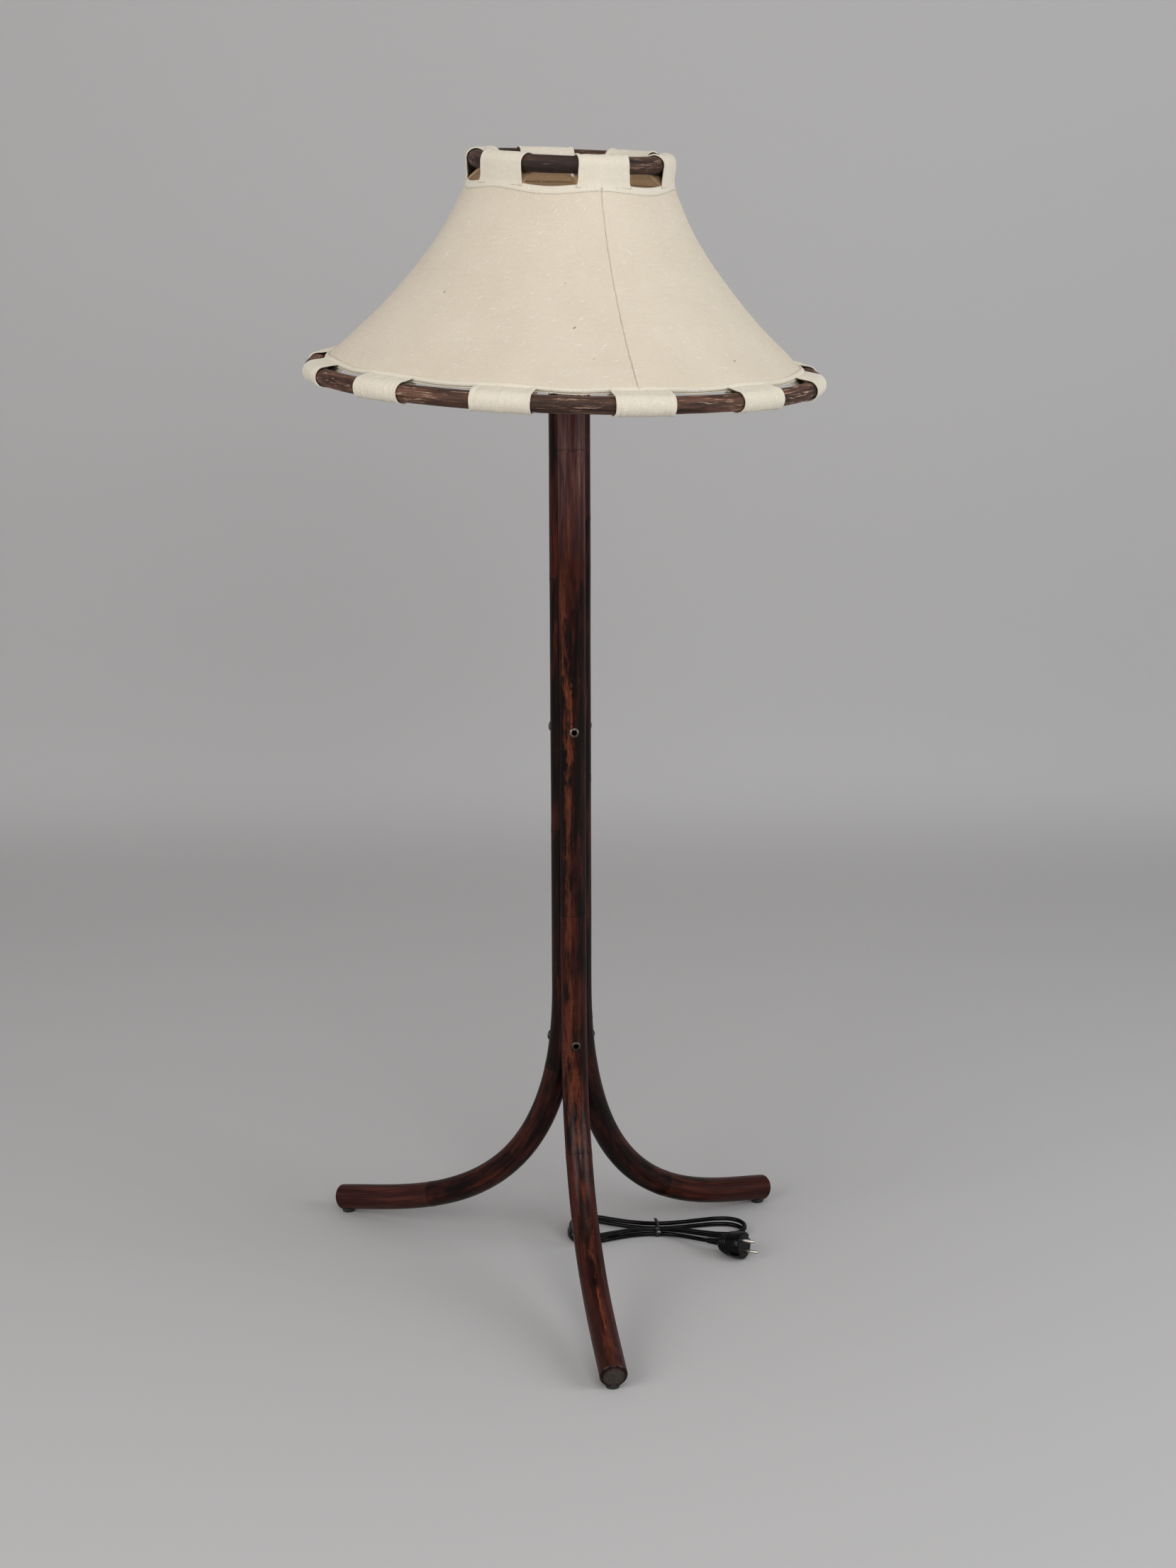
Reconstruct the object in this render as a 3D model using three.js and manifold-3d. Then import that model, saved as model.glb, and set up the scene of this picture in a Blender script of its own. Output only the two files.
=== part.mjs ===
// Rattan floor lamp, in millimetres, +Z up, seen from the front along +Y.
// Three rattan canes, planed flat where they meet, are bolted round a steel core into one column,
// and their lower ends are bent outward into the legs. A flared canvas shade is laced by cloth loops
// to a small rattan hoop above and a large one below. A wire carrier holds the upper hoop on the
// lampholder, and the mains lead runs down the core and lies in a tied hank behind the front leg.
import * as THREE from "three";
import { mergeVertices } from "three/addons/utils/BufferGeometryUtils.js";
import Module from "manifold-3d";

// Room between pieces that touch, and how far a cut runs past what it cuts
const fit = 0.3;
const overrun = 5;

// Canes
const caneDiameter = 35.2;
const caneSpread = 10.2; // from the column's axis to the middle of each cane
const columnTop = 1255;
const bendTop = 402; // below this height the canes leave the column
const bendHandleDown = 347;
const bendHandleOut = 118;
const footSlopeDegrees = 13.6;
const footEdgeLift = 1.5; // height of the cut end's lower edge
const footChamfer = 3;
const frontReach = 368;
const rightReach = 347;
const leftReach = 380;
const frontTurnDegrees = -82;
const leftSwingDegrees = -7.2; // the left leg is bent a little towards the back
const nodeSwell = 0.5; // rattan's ringed joints stand a little proud
const nodeLength = 9;
const caneSides = 12;
const bendSteps = 17;

// Steel core tube between the canes
const coreDiameter = 16;
const coreBore = 10.6;
const coreBelowBolts = 32;

// Socket-head bolts, one through each cane at two heights
const upperBoltHeight = 755;
const lowerBoltHeight = 328;
const boltDiameter = 6;
const boltHeadDiameter = 13;
const boltHeadHeight = 3.4;
const boltHeadCrown = 1.3;
const boltSeatDepth = 1.2;
const boltSocketWidth = 4.6;
const boltSocketDepth = 2.2;

// Rubber glides under the ends of the legs
const glideDiameter = 18;
const glideHeight = 9;
const glideInset = 12; // from the cane's end to the middle of the glide

// Cap over the cane ends, with its threaded nipple and lock nut
const capWall = 2.5;
const capSkirt = 24;
const nippleDiameter = 10;
const nippleBore = 7;
const nippleBelowTop = 15;
const nippleIntoHolder = 9;
const nutWidth = 17;
const nutHeight = 4;

// Lampholder: base, outer shell, insulator and brass contacts
const holderWall = 2;
const holderNeckDiameter = 26;
const holderDiameter = 40;
const holderBaseHeight = 20;
const holderConeHeight = 11;
const shellHeight = 44;
const shellWall = 4;
const insulatorBelow = 6;
const insulatorAbove = 8;
const threadShellHeight = 26;
const threadShellDiameter = 29.2;
const threadShellWall = 0.8;
const contactDiameter = 6;
const contactHeight = 2.5;

// Rings that clamp the shade carrier on the lampholder's shell
const ringDiameter = 54;
const ringHeight = 6;
const ringRise = 15; // from the shell's foot to the lower ring
const ringFlutes = 16;
const fluteDepth = 1;

// Rotary switch on the lampholder's base
const knobDiameter = 14;
const knobLength = 13;
const knobFlutes = 10;
const knobShaftDiameter = 5;
const knobStandOff = 1.2;
const knobTurnDegrees = -40;

// Bulb with a 27 mm screw base
const bulbBaseDiameter = 26.4;
const bulbBaseHeight = 25;
const bulbTipDiameter = 9;
const bulbTipHeight = 3;
const bulbDiameter = 60;
const bulbNeckDiameter = 25;
const bulbGlassHeight = 82;
const bulbGlassWall = 1;

// Shade carrier: a flat ring with three wire arms
const carrierRingDiameter = 64;
const carrierRingThickness = 2;
const wireDiameter = 4;
const armStartRadius = 28.5;
const armDrop = 1.5; // the wires are welded on under the ring's edge
const armShelfRadius = 52;
const armTurnRadius = 96;
const armIntoHoop = 6;
const armBend = 9;
const arms = 3;

// Rattan hoops of the shade
const hoopThickness = 21;
const upperHoopDiameter = 232; // along the middle of the bar
const upperHoopHeight = 1470;
const lowerHoopDiameter = 627;
const lowerHoopHeight = 1211;
const upperHoopSegments = 36;
const lowerHoopSegments = 60;
const hoopSides = 10;
const shadeLeanDegrees = 2; // the shade sits a little askew on its carrier's arms
const shadeLeanHeight = 1390;

// Canvas of the shade, cut in two halves and flared like a trumpet
const canvasThickness = 1.2;
const canvasTopRadius = 124.2;
const canvasTopDrop = 16.2; // from the upper hoop's middle to where the flare's line starts
const flareTopHandleOut = 22.1;
const flareTopHandleDown = 70.2;
const hemInset = 16.1; // from the lower hoop's middle in to the end of the flare's line
const hemRise = 14.3;
const flareHemHandleIn = 95.5;
const flareHemHandleUp = 80.5;
const neckStart = 4.7; // along the flare's line to the canvas's upper edge under a loop
const neckScallop = 5;
const facingWidth = 10;
const facingThickness = 2.2;
const hemScallop = 5;
const hemWidth = 6;
const hemThickness = 4;
const seamTurnDegrees = -73; // a seam faces the front, a little to the right
const canvasColumns = 24;

// Cloth loops that lace the canvas to the hoops
const loopWidth = 72;
const loopThickness = 1.6;
const loopSlack = 0.6;
const loopRoot = 3;
const upperLoops = 6;
const lowerLoops = 12;

// Mains lead
const cordDiameter = 6;
const glandFlangeHeight = 3;
const glandStem = 10;
const glandSleeve = 25;
const glandSleeveTop = 12;
const glandSleeveEnd = 8.4;

// Hank of the lead on the floor: two and a half loops in two layers, drawn in by a tie
const hankMiddle = new THREE.Vector2(117, 97);
const hankHalfLength = 120;
const hankWaist = 3.5;
const hankPitch = 7.2;
const hankSpreadLeft = 76;
const hankSpreadRight = 42;
const hankSpreadStep = 10;
const hankFloorRoom = 0.2;
const hankTieRoom = 1.3;
const hankStartDegrees = 45;
const hankTurnDegrees = 450; // where the loops stop closing in and open again, a layer lower
const hankEndDegrees = 810;
const hankLoopSteps = 24;
const hankSides = 6;
const hankLeaveHandle = 25; // how long the lead holds its course out of the hank, and before the plug
const hankArriveHandle = 12;
const tieWidth = 5;
const tieThickness = 0.9;
const tieRoom = 0.4;
const tieTailLength = 9;
const tieTailDiameter = 2;

// Two-pin plug, lying on the rim of its face
const plugDiameter = 37;
const plugRimLength = 14;
const plugTaperLength = 24;
const plugHeelDiameter = 19;
const plugReliefLength = 20;
const plugReliefDiameter = 10.5;
const plugEndDiameter = 7.6;
const plugEdge = 1;
const plugSlotWidth = 7;
const plugSlotDepth = 3.4;
const plugFaceX = 234;
const plugFaceY = 12;
const plugFloorRoom = 0.2;
const plugTurnDegrees = -33;
const plugTiltDegrees = 6.5; // the face looks up a little, as the plug rests on the edge behind its rim
const pinTwistDegrees = 21;
const pinDiameter = 4.8;
const pinLength = 19;
const pinSpacing = 19;
const pinSeat = 4;

// The free stretch of the lead: out of the gland, down behind the front leg and round into the hank
const cordRoute = [
  [0, 0, 267.4],
  [0, 0, 252],
  [0, 1, 234],
  [0.2, 5, 205],
  [0.5, 12, 168],
  [1, 21.5, 128],
  [1.5, 31, 90],
  [2, 39.5, 57],
  [3, 44.5, 33],
  [6.2, 48.5, 22],
  [12, 52.6, 15.2],
  [19, 56, 11.9],
];

const caneRadius = caneDiameter / 2;
const coreRadius = coreDiameter / 2;
const cordRadius = cordDiameter / 2;
const hoopRadius = hoopThickness / 2;
const boltRadius = boltDiameter / 2;
const wireRadius = wireDiameter / 2;
const coreBottom = lowerBoltHeight - coreBelowBolts;
const glandEnd = coreBottom - fit - glandFlangeHeight - glandSleeve;
const capTop = columnTop + fit + capWall;
const holderFoot = capTop + fit + nutHeight + fit;
const shellFoot = holderFoot + holderBaseHeight + fit;
const insulatorTop = shellFoot + insulatorAbove;
const shellThreadRadius = holderDiameter / 2 - 2 * fit;
const lowerRingFoot = shellFoot + ringRise;
const carrierHeight = lowerRingFoot + ringHeight + fit + carrierRingThickness / 2;
const radians = THREE.MathUtils.degToRad;

// Each cane: its place round the column, its own bend, its reach, and where its ringed joints
// come as shares of its length from the foot
const canes = [
  { name: "front", turnDegrees: frontTurnDegrees, swingDegrees: 0, reach: frontReach,
    nodeShares: [0.265, 0.483, 0.7, 0.907] },
  { name: "right", turnDegrees: frontTurnDegrees + 120, swingDegrees: 0, reach: rightReach,
    nodeShares: [0.14, 0.37, 0.6, 0.84] },
  { name: "left", turnDegrees: frontTurnDegrees + 240, swingDegrees: leftSwingDegrees, reach: leftReach,
    nodeShares: [0.11, 0.33, 0.56, 0.79] },
];

const finishes = {
  rattan: { color: 0x3a1c14, roughness: 0.38, metalness: 0 },
  steel: { color: 0x9a9a98, roughness: 0.4, metalness: 1 },
  nickel: { color: 0xb8b2a6, roughness: 0.3, metalness: 1 },
  brass: { color: 0xc0964c, roughness: 0.35, metalness: 1 },
  canvas: { color: 0xe6dfcc, roughness: 0.95, metalness: 0 },
  phenolic: { color: 0x1c1a19, roughness: 0.35, metalness: 0 },
  porcelain: { color: 0xe8e4da, roughness: 0.3, metalness: 0 },
  rubber: { color: 0x151515, roughness: 0.8, metalness: 0 },
  vinyl: { color: 0x121212, roughness: 0.45, metalness: 0 },
  opalGlass: { color: 0xf4f2ec, roughness: 0.25, metalness: 0 },
};

const wasm = await Module();
wasm.setup();

const lamp = new THREE.Group();

function addPiece(name, geometry, finish, parent = lamp) {
  const mesh = new THREE.Mesh(geometry, new THREE.MeshStandardMaterial(finishes[finish]));
  mesh.name = name;
  parent.add(mesh);
  return mesh;
}

// A closed geometry as a solid that can be cut and joined, and back again
function toSolid(geometry) {
  const bare = geometry.clone();
  bare.deleteAttribute("normal");
  bare.deleteAttribute("uv");
  const merged = mergeVertices(bare);
  return new wasm.Manifold(
    new wasm.Mesh({
      numProp: 3,
      vertProperties: merged.attributes.position.array,
      triVerts: merged.index.array,
    }),
  );
}

function toGeometry(solid) {
  const mesh = solid.getMesh();
  const geometry = new THREE.BufferGeometry();
  geometry.setAttribute("position", new THREE.BufferAttribute(mesh.vertProperties, 3));
  geometry.setIndex(new THREE.BufferAttribute(mesh.triVerts, 1));
  geometry.computeVertexNormals();
  return geometry;
}

function cut(geometry, cutters) {
  return toGeometry(cutters.reduce((left, cutter) => left.subtract(toSolid(cutter)), toSolid(geometry)));
}

// A piece turned about +Z from a closed profile of [radius, height] points
function turned(profile, sides) {
  const points = profile.map(([radius, height]) => new THREE.Vector2(radius, height));
  return new THREE.LatheGeometry(points, sides).rotateX(Math.PI / 2);
}

// A turned wall of one bore: outside radii going up, closed by a straight bore
function bushing(bore, outside, sides) {
  const foot = outside[0][1];
  const top = outside.at(-1)[1];
  return turned([[bore, foot], ...outside, [bore, top], [bore, foot]], sides);
}

// A round rod along the radial direction of an azimuth at a height, between two radii
function radialRod(radius, azimuth, height, from, to, sides) {
  return new THREE.CylinderGeometry(radius, radius, to - from, sides)
    .rotateZ(-Math.PI / 2)
    .translate((from + to) / 2, 0, height)
    .rotateZ(azimuth);
}

// A round bar through a row of points, with a radius at each, closed by flat ends
function roundBar(points, radii, sides) {
  const corners = [];
  const faces = [];
  const ahead = new THREE.Vector3();
  const behind = new THREE.Vector3();
  const across = new THREE.Vector3();
  const turn = new THREE.Quaternion();
  const last = points.length - 1;
  points.forEach((point, i) => {
    ahead.subVectors(points[Math.min(i + 1, last)], points[Math.max(i - 1, 0)]).normalize();
    if (i === 0) {
      const least = Math.abs(ahead.z) < Math.SQRT1_2 ? new THREE.Vector3(0, 0, 1) : new THREE.Vector3(0, 1, 0);
      across.crossVectors(least, ahead).normalize();
    } else {
      across.applyQuaternion(turn.setFromUnitVectors(behind, ahead));
    }
    behind.copy(ahead);
    const up = new THREE.Vector3().crossVectors(ahead, across);
    for (let side = 0; side < sides; side++) {
      const angle = (2 * Math.PI * side) / sides;
      corners.push(
        point.clone()
          .addScaledVector(across, radii[i] * Math.cos(angle))
          .addScaledVector(up, radii[i] * Math.sin(angle)),
      );
    }
  });
  for (let i = 0; i < last; i++) {
    for (let side = 0; side < sides; side++) {
      const next = (side + 1) % sides;
      const [a, b] = [i * sides + side, i * sides + next];
      faces.push(a, b, a + sides, b, b + sides, a + sides);
    }
  }
  const end = last * sides;
  for (let side = 1; side < sides - 1; side++) {
    faces.push(0, side + 1, side);
    faces.push(end, end + side, end + side + 1);
  }
  const geometry = new THREE.BufferGeometry().setFromPoints(corners);
  geometry.setIndex(faces);
  geometry.computeVertexNormals();
  return geometry;
}

// A round tube or wire of one thickness along a path
function wireAlong(path, radius, steps, sides) {
  const section = new THREE.Shape();
  for (let side = 0; side < sides; side++) {
    const angle = (2 * Math.PI * side) / sides;
    section[side ? "lineTo" : "moveTo"](radius * Math.cos(angle), radius * Math.sin(angle));
  }
  return new THREE.ExtrudeGeometry(section, { steps, extrudePath: path });
}

function placeRadially(distance, height, azimuth) {
  return new THREE.Vector3(distance * Math.cos(azimuth), distance * Math.sin(azimuth), height);
}

// The bend of a leg from the column down to the foot, in its own upright plane
function legBend(cane) {
  const slope = radians(footSlopeDegrees);
  const footHeight = footEdgeLift + caneRadius * Math.cos(slope);
  return new THREE.CubicBezierCurve(
    new THREE.Vector2(0, bendTop),
    new THREE.Vector2(0, bendTop - bendHandleDown),
    new THREE.Vector2(
      cane.reach - caneSpread - bendHandleOut * Math.cos(slope),
      footHeight + bendHandleOut * Math.sin(slope),
    ),
    new THREE.Vector2(cane.reach - caneSpread, footHeight),
  );
}

// A point of the cane's middle line: out along its bend's own direction from its place in the column
function caneMiddle(cane, out, height) {
  const turn = radians(cane.turnDegrees);
  const point = placeRadially(caneSpread, height, turn);
  return point.add(placeRadially(out, 0, turn + radians(cane.swingDegrees)));
}

// How far the cane's middle has left its place in the column at a height
function bendOutAt(cane, height) {
  if (height >= bendTop) return 0;
  const points = legBend(cane).getSpacedPoints(200);
  const below = points.findIndex((point) => point.y <= height);
  const [above, under] = [points[below - 1], points[below]];
  return THREE.MathUtils.mapLinear(height, above.y, under.y, above.x, under.x);
}

function caneGeometry(cane) {
  const bend = legBend(cane);
  const bendLength = bend.getLength();
  const length = bendLength + columnTop - bendTop;
  const marks = [
    { at: 0, radius: caneRadius - footChamfer },
    { at: footChamfer, radius: caneRadius },
    { at: length + overrun, radius: caneRadius },
  ];
  for (let step = 1; step <= bendSteps; step++) {
    marks.push({ at: (bendLength * step) / bendSteps, radius: caneRadius });
  }
  for (const share of cane.nodeShares) {
    marks.push({ at: length * share - nodeLength / 2, radius: caneRadius });
    marks.push({ at: length * share, radius: caneRadius + nodeSwell });
    marks.push({ at: length * share + nodeLength / 2, radius: caneRadius });
  }
  marks.sort((a, b) => a.at - b.at);
  const middles = marks.map(({ at }) => {
    if (at >= bendLength) return caneMiddle(cane, 0, bendTop + at - bendLength);
    const point = bend.getPointAt(1 - at / bendLength);
    return caneMiddle(cane, point.x, point.y);
  });
  return roundBar(middles, marks.map(({ radius }) => radius), caneSides);
}

// The third of the column that belongs to one cane: a wedge whose two planed faces meet at the axis
function caneWedge(cane) {
  const far = cane.reach + caneDiameter;
  const inset = fit / 2 / Math.sin(Math.PI / 3);
  const shape = new THREE.Shape([
    new THREE.Vector2(inset, 0),
    new THREE.Vector2(inset + far * Math.cos(Math.PI / 3), -far * Math.sin(Math.PI / 3)),
    new THREE.Vector2(inset + 2 * far, 0),
    new THREE.Vector2(inset + far * Math.cos(Math.PI / 3), far * Math.sin(Math.PI / 3)),
  ]);
  return new THREE.ExtrudeGeometry(shape, { depth: columnTop + overrun, bevelEnabled: false })
    .translate(0, 0, -overrun)
    .rotateZ(radians(cane.turnDegrees));
}

function boltHeights() {
  return { upper: upperBoltHeight, lower: lowerBoltHeight };
}

function boltSeatRadius(cane, height) {
  return caneSpread + bendOutAt(cane, height) + caneRadius - boltSeatDepth;
}

function makeCanes() {
  const channel = new THREE.CylinderGeometry(coreRadius + fit, coreRadius + fit, columnTop, caneSides * 2)
    .rotateX(Math.PI / 2)
    .translate(0, 0, columnTop / 2 + glandEnd);
  for (const cane of canes) {
    let solid = toSolid(caneGeometry(cane)).intersect(toSolid(caneWedge(cane))).subtract(toSolid(channel));
    const azimuth = radians(cane.turnDegrees);
    for (const height of Object.values(boltHeights())) {
      const seat = boltSeatRadius(cane, height);
      const hole = radialRod(boltRadius + fit, azimuth, height, 0, seat + overrun, 10);
      const spot = radialRod(boltHeadDiameter / 2 + fit, azimuth, height, seat, seat + overrun, 16);
      solid = solid.subtract(toSolid(hole)).subtract(toSolid(spot));
    }
    addPiece(`cane_${cane.name}`, toGeometry(solid), "rattan");
  }
}

function makeCore() {
  const tube = bushing(coreBore / 2, [[coreRadius, coreBottom], [coreRadius, columnTop]], 16);
  const holes = [];
  for (const cane of canes) {
    for (const height of Object.values(boltHeights())) {
      holes.push(radialRod(boltRadius + fit, radians(cane.turnDegrees), height, 0, coreDiameter, 10));
    }
  }
  addPiece("core_tube", cut(tube, holes), "steel");
}

// A button-head bolt, made upright with the underside of its head at zero
function boltGeometry(length) {
  const head = boltHeadDiameter / 2;
  const body = turned(
    [
      [0, -length],
      [boltRadius, -length],
      [boltRadius, 0],
      [head, 0],
      [head, boltHeadHeight - boltHeadCrown],
      [head * Math.cos(Math.PI / 5), boltHeadHeight - boltHeadCrown * Math.sin(Math.PI / 8)],
      [boltSocketWidth, boltHeadHeight],
      [0, boltHeadHeight],
    ],
    12,
  );
  const socket = new THREE.CylinderGeometry(boltSocketWidth / 2, boltSocketWidth / 2, 2 * boltSocketDepth, 6)
    .rotateX(Math.PI / 2)
    .translate(0, 0, boltHeadHeight);
  return cut(body, [socket]);
}

function makeBolts() {
  for (const cane of canes) {
    for (const [level, height] of Object.entries(boltHeights())) {
      const seat = boltSeatRadius(cane, height) + fit;
      const bolt = addPiece(`bolt_${level}_${cane.name}`, boltGeometry(seat - coreBore / 2 - fit), "nickel");
      bolt.rotation.set(0, Math.PI / 2, radians(cane.turnDegrees), "ZYX");
      bolt.position.copy(placeRadially(seat, height, radians(cane.turnDegrees)));
    }
  }
}

function makeGlides() {
  for (const cane of canes) {
    const bend = legBend(cane);
    const under = bend.getPointAt(1 - glideInset / bend.getLength());
    const middle = caneMiddle(cane, under.x, 0);
    const pad = new THREE.CylinderGeometry(glideDiameter / 2, glideDiameter / 2, glideHeight, 16)
      .rotateX(Math.PI / 2)
      .translate(middle.x, middle.y, glideHeight / 2);
    const route = [0, 0.5, 1].map((share) => {
      const point = bend.getPoint(1 - (share * glideDiameter * 2) / bend.getLength());
      return caneMiddle(cane, point.x, point.y);
    });
    const beyond = route[0].clone().add(route[0]).sub(route[1]);
    const groove = roundBar([beyond, ...route], route.map(() => caneRadius + fit).concat(caneRadius + fit), 24);
    addPiece(`glide_${cane.name}`, cut(pad, [groove]), "rubber");
  }
}

function makeGland() {
  const flangeFoot = glandEnd + glandSleeve;
  const profile = [
    [glandSleeveEnd / 2, glandEnd],
    [glandSleeveTop / 2, flangeFoot],
    [coreRadius, flangeFoot],
    [coreRadius, flangeFoot + glandFlangeHeight],
    [coreBore / 2 - fit, flangeFoot + glandFlangeHeight],
    [coreBore / 2 - fit, flangeFoot + glandFlangeHeight + glandStem],
  ];
  addPiece("cord_gland", bushing(cordRadius + fit, profile, 16), "rubber");
}

function makeColumnHead() {
  const outer = caneSpread + caneRadius + fit + capWall;
  const cap = [
    [nippleDiameter / 2 + fit, columnTop + fit],
    [outer - capWall, columnTop + fit],
    [outer - capWall, columnTop - capSkirt],
    [outer, columnTop - capSkirt],
    [outer, capTop],
    [nippleDiameter / 2 + fit, capTop],
    [nippleDiameter / 2 + fit, columnTop + fit],
  ];
  addPiece("column_cap", turned(cap, 24), "rattan");

  const nippleFoot = columnTop - nippleBelowTop;
  const nippleTop = holderFoot + nippleIntoHolder;
  const nipple = [[nippleDiameter / 2, nippleFoot], [nippleDiameter / 2, nippleTop]];
  addPiece("nipple", bushing(nippleBore / 2, nipple, 16), "steel");

  const nut = new THREE.Shape();
  for (let corner = 0; corner < 6; corner++) {
    const angle = (Math.PI * corner) / 3;
    const reach = nutWidth / 2 / Math.cos(Math.PI / 6);
    const step = corner ? "lineTo" : "moveTo";
    nut[step](reach * Math.cos(angle), reach * Math.sin(angle));
  }
  nut.holes.push(new THREE.Path().absarc(0, 0, nippleDiameter / 2 + fit, 0, 2 * Math.PI));
  const nutGeometry = new THREE.ExtrudeGeometry(nut, { depth: nutHeight, bevelEnabled: false, curveSegments: 8 });
  addPiece("lock_nut", nutGeometry.translate(0, 0, capTop + fit), "steel");

  const lead = new THREE.CylinderGeometry(cordRadius, cordRadius, nippleTop - glandEnd, 8)
    .rotateX(Math.PI / 2)
    .translate(0, 0, (nippleTop + glandEnd) / 2);
  addPiece("lead_in_column", lead, "vinyl");
}

function makeLampholder() {
  const hole = nippleDiameter / 2 + fit;
  const outer = holderDiameter / 2;
  const neck = holderNeckDiameter / 2;
  const base = turned(
    [
      [hole, holderFoot],
      [neck, holderFoot],
      [outer, holderFoot + holderConeHeight],
      [outer, holderFoot + holderBaseHeight],
      [outer - holderWall, holderFoot + holderBaseHeight],
      [outer - holderWall, holderFoot + holderConeHeight],
      [neck - holderWall, holderFoot + holderWall],
      [hole, holderFoot + holderWall],
      [hole, holderFoot],
    ],
    24,
  );
  const knobHole = radialRod(knobShaftDiameter / 2 + fit, knobAzimuth(), knobHeight(), neck, holderDiameter, 12);
  addPiece("lampholder_base", cut(base, [knobHole]), "phenolic");

  const bore = shellThreadRadius - shellWall;
  const shell = [
    [outer, shellFoot],
    [outer, shellFoot + ringRise - fit],
    [shellThreadRadius, shellFoot + ringRise - fit],
    [shellThreadRadius, shellFoot + shellHeight],
  ];
  addPiece("lampholder_shell", bushing(bore, shell, 24), "phenolic");

  const insulator = [[0, shellFoot - insulatorBelow], [bore - fit, shellFoot - insulatorBelow],
    [bore - fit, insulatorTop], [0, insulatorTop]];
  addPiece("lampholder_insulator", turned(insulator, 20), "porcelain");

  const foot = insulatorTop + fit;
  const screwRadius = threadShellDiameter / 2;
  const screwShell = [
    [contactDiameter, foot],
    [screwRadius, foot],
    [screwRadius, foot + threadShellHeight],
    [screwRadius - threadShellWall, foot + threadShellHeight],
    [screwRadius - threadShellWall, foot + threadShellWall],
    [contactDiameter, foot + threadShellWall],
    [contactDiameter, foot],
  ];
  addPiece("lampholder_screw_shell", turned(screwShell, 20), "brass");

  const contact = [[0, foot], [contactDiameter / 2, foot], [contactDiameter / 2, foot + contactHeight],
    [0, foot + contactHeight]];
  addPiece("lampholder_contact", turned(contact, 12), "brass");
}

function knobAzimuth() {
  return radians(knobTurnDegrees);
}

function knobHeight() {
  return holderFoot + (holderConeHeight + holderBaseHeight) / 2;
}

// A round outline with hollows round its rim for the fingers
function flutedShape(diameter, flutes) {
  const points = [];
  for (let step = 0; step < 2 * flutes; step++) {
    const angle = (Math.PI * step) / flutes;
    const radius = diameter / 2 - (step % 2 ? fluteDepth : 0);
    points.push(new THREE.Vector2(radius * Math.cos(angle), radius * Math.sin(angle)));
  }
  return new THREE.Shape(points);
}

function makeSwitchKnob() {
  const shaftStart = holderDiameter / 2 - holderWall - knobStandOff;
  const knobStart = holderDiameter / 2 + knobStandOff;
  const knob = new THREE.ExtrudeGeometry(flutedShape(knobDiameter, knobFlutes), {
    depth: knobLength,
    bevelEnabled: false,
  }).translate(0, 0, knobStart);
  const shaftLength = knobStart + knobLength / 2 - shaftStart;
  const shaft = new THREE.CylinderGeometry(knobShaftDiameter / 2, knobShaftDiameter / 2, shaftLength, 12)
    .rotateX(Math.PI / 2)
    .translate(0, 0, shaftStart + shaftLength / 2);
  const piece = addPiece("switch_knob", toGeometry(toSolid(knob).add(toSolid(shaft))), "phenolic");
  piece.rotation.set(0, Math.PI / 2, knobAzimuth(), "ZYX");
  piece.position.set(0, 0, knobHeight());
}

function makeShadeRings() {
  const places = {
    shade_ring_lower: lowerRingFoot,
    shade_ring_upper: carrierHeight + carrierRingThickness / 2 + fit,
  };
  for (const [name, foot] of Object.entries(places)) {
    const shape = flutedShape(ringDiameter, ringFlutes);
    shape.holes.push(new THREE.Path().absarc(0, 0, shellThreadRadius + fit, 0, 2 * Math.PI));
    const ring = new THREE.ExtrudeGeometry(shape, { depth: ringHeight, bevelEnabled: false, curveSegments: 16 });
    addPiece(name, ring.translate(0, 0, foot), "phenolic");
  }
}

function makeBulb() {
  const foot = insulatorTop + fit + contactHeight + fit;
  const radius = bulbBaseDiameter / 2;
  const tip = bulbTipDiameter / 2;
  const base = [
    [0, foot],
    [tip, foot],
    [tip, foot + bulbTipHeight / 2],
    [radius - bulbTipHeight, foot + bulbTipHeight],
    [radius, foot + 2 * bulbTipHeight],
    [radius, foot + bulbBaseHeight],
    [0, foot + bulbBaseHeight],
  ];
  addPiece("bulb_base", turned(base, 20), "brass");

  const neckFoot = foot + bulbBaseHeight + fit;
  const top = neckFoot + bulbGlassHeight;
  const middle = top - bulbDiameter / 2;
  const glass = (radiusOf) => {
    const points = [[bulbNeckDiameter / 2 - bulbDiameter / 2 + radiusOf, neckFoot]];
    points.push([bulbNeckDiameter / 2 - bulbDiameter / 2 + radiusOf, neckFoot + bulbNeckDiameter / 4]);
    for (let step = -2; step <= 6; step++) {
      const angle = (Math.PI * step) / 12;
      points.push([radiusOf * Math.cos(angle), middle + radiusOf * Math.sin(angle)]);
    }
    points[points.length - 1][0] = 0;
    return points;
  };
  const outline = [...glass(bulbDiameter / 2), ...glass(bulbDiameter / 2 - bulbGlassWall).reverse()];
  outline.push(outline[0]);
  addPiece("bulb_glass", turned(outline, 20), "opalGlass");
}

// A path from corner to corner, bent round at each
function bentPath(corners, bend) {
  const path = new THREE.CurvePath();
  let from = corners[0];
  for (let i = 1; i < corners.length - 1; i++) {
    const back = corners[i - 1].clone().sub(corners[i]).setLength(bend).add(corners[i]);
    const forth = corners[i + 1].clone().sub(corners[i]).setLength(bend).add(corners[i]);
    path.add(new THREE.LineCurve3(from, back));
    path.add(new THREE.QuadraticBezierCurve3(back, corners[i], forth));
    from = forth;
  }
  path.add(new THREE.LineCurve3(from, corners.at(-1)));
  return path;
}

function armAzimuths() {
  return Array.from({ length: arms }, (_, arm) => radians(seamTurnDegrees) + (2 * Math.PI * arm) / arms);
}

function armEndRadius() {
  return upperHoopDiameter / 2 - hoopRadius + armIntoHoop;
}

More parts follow.
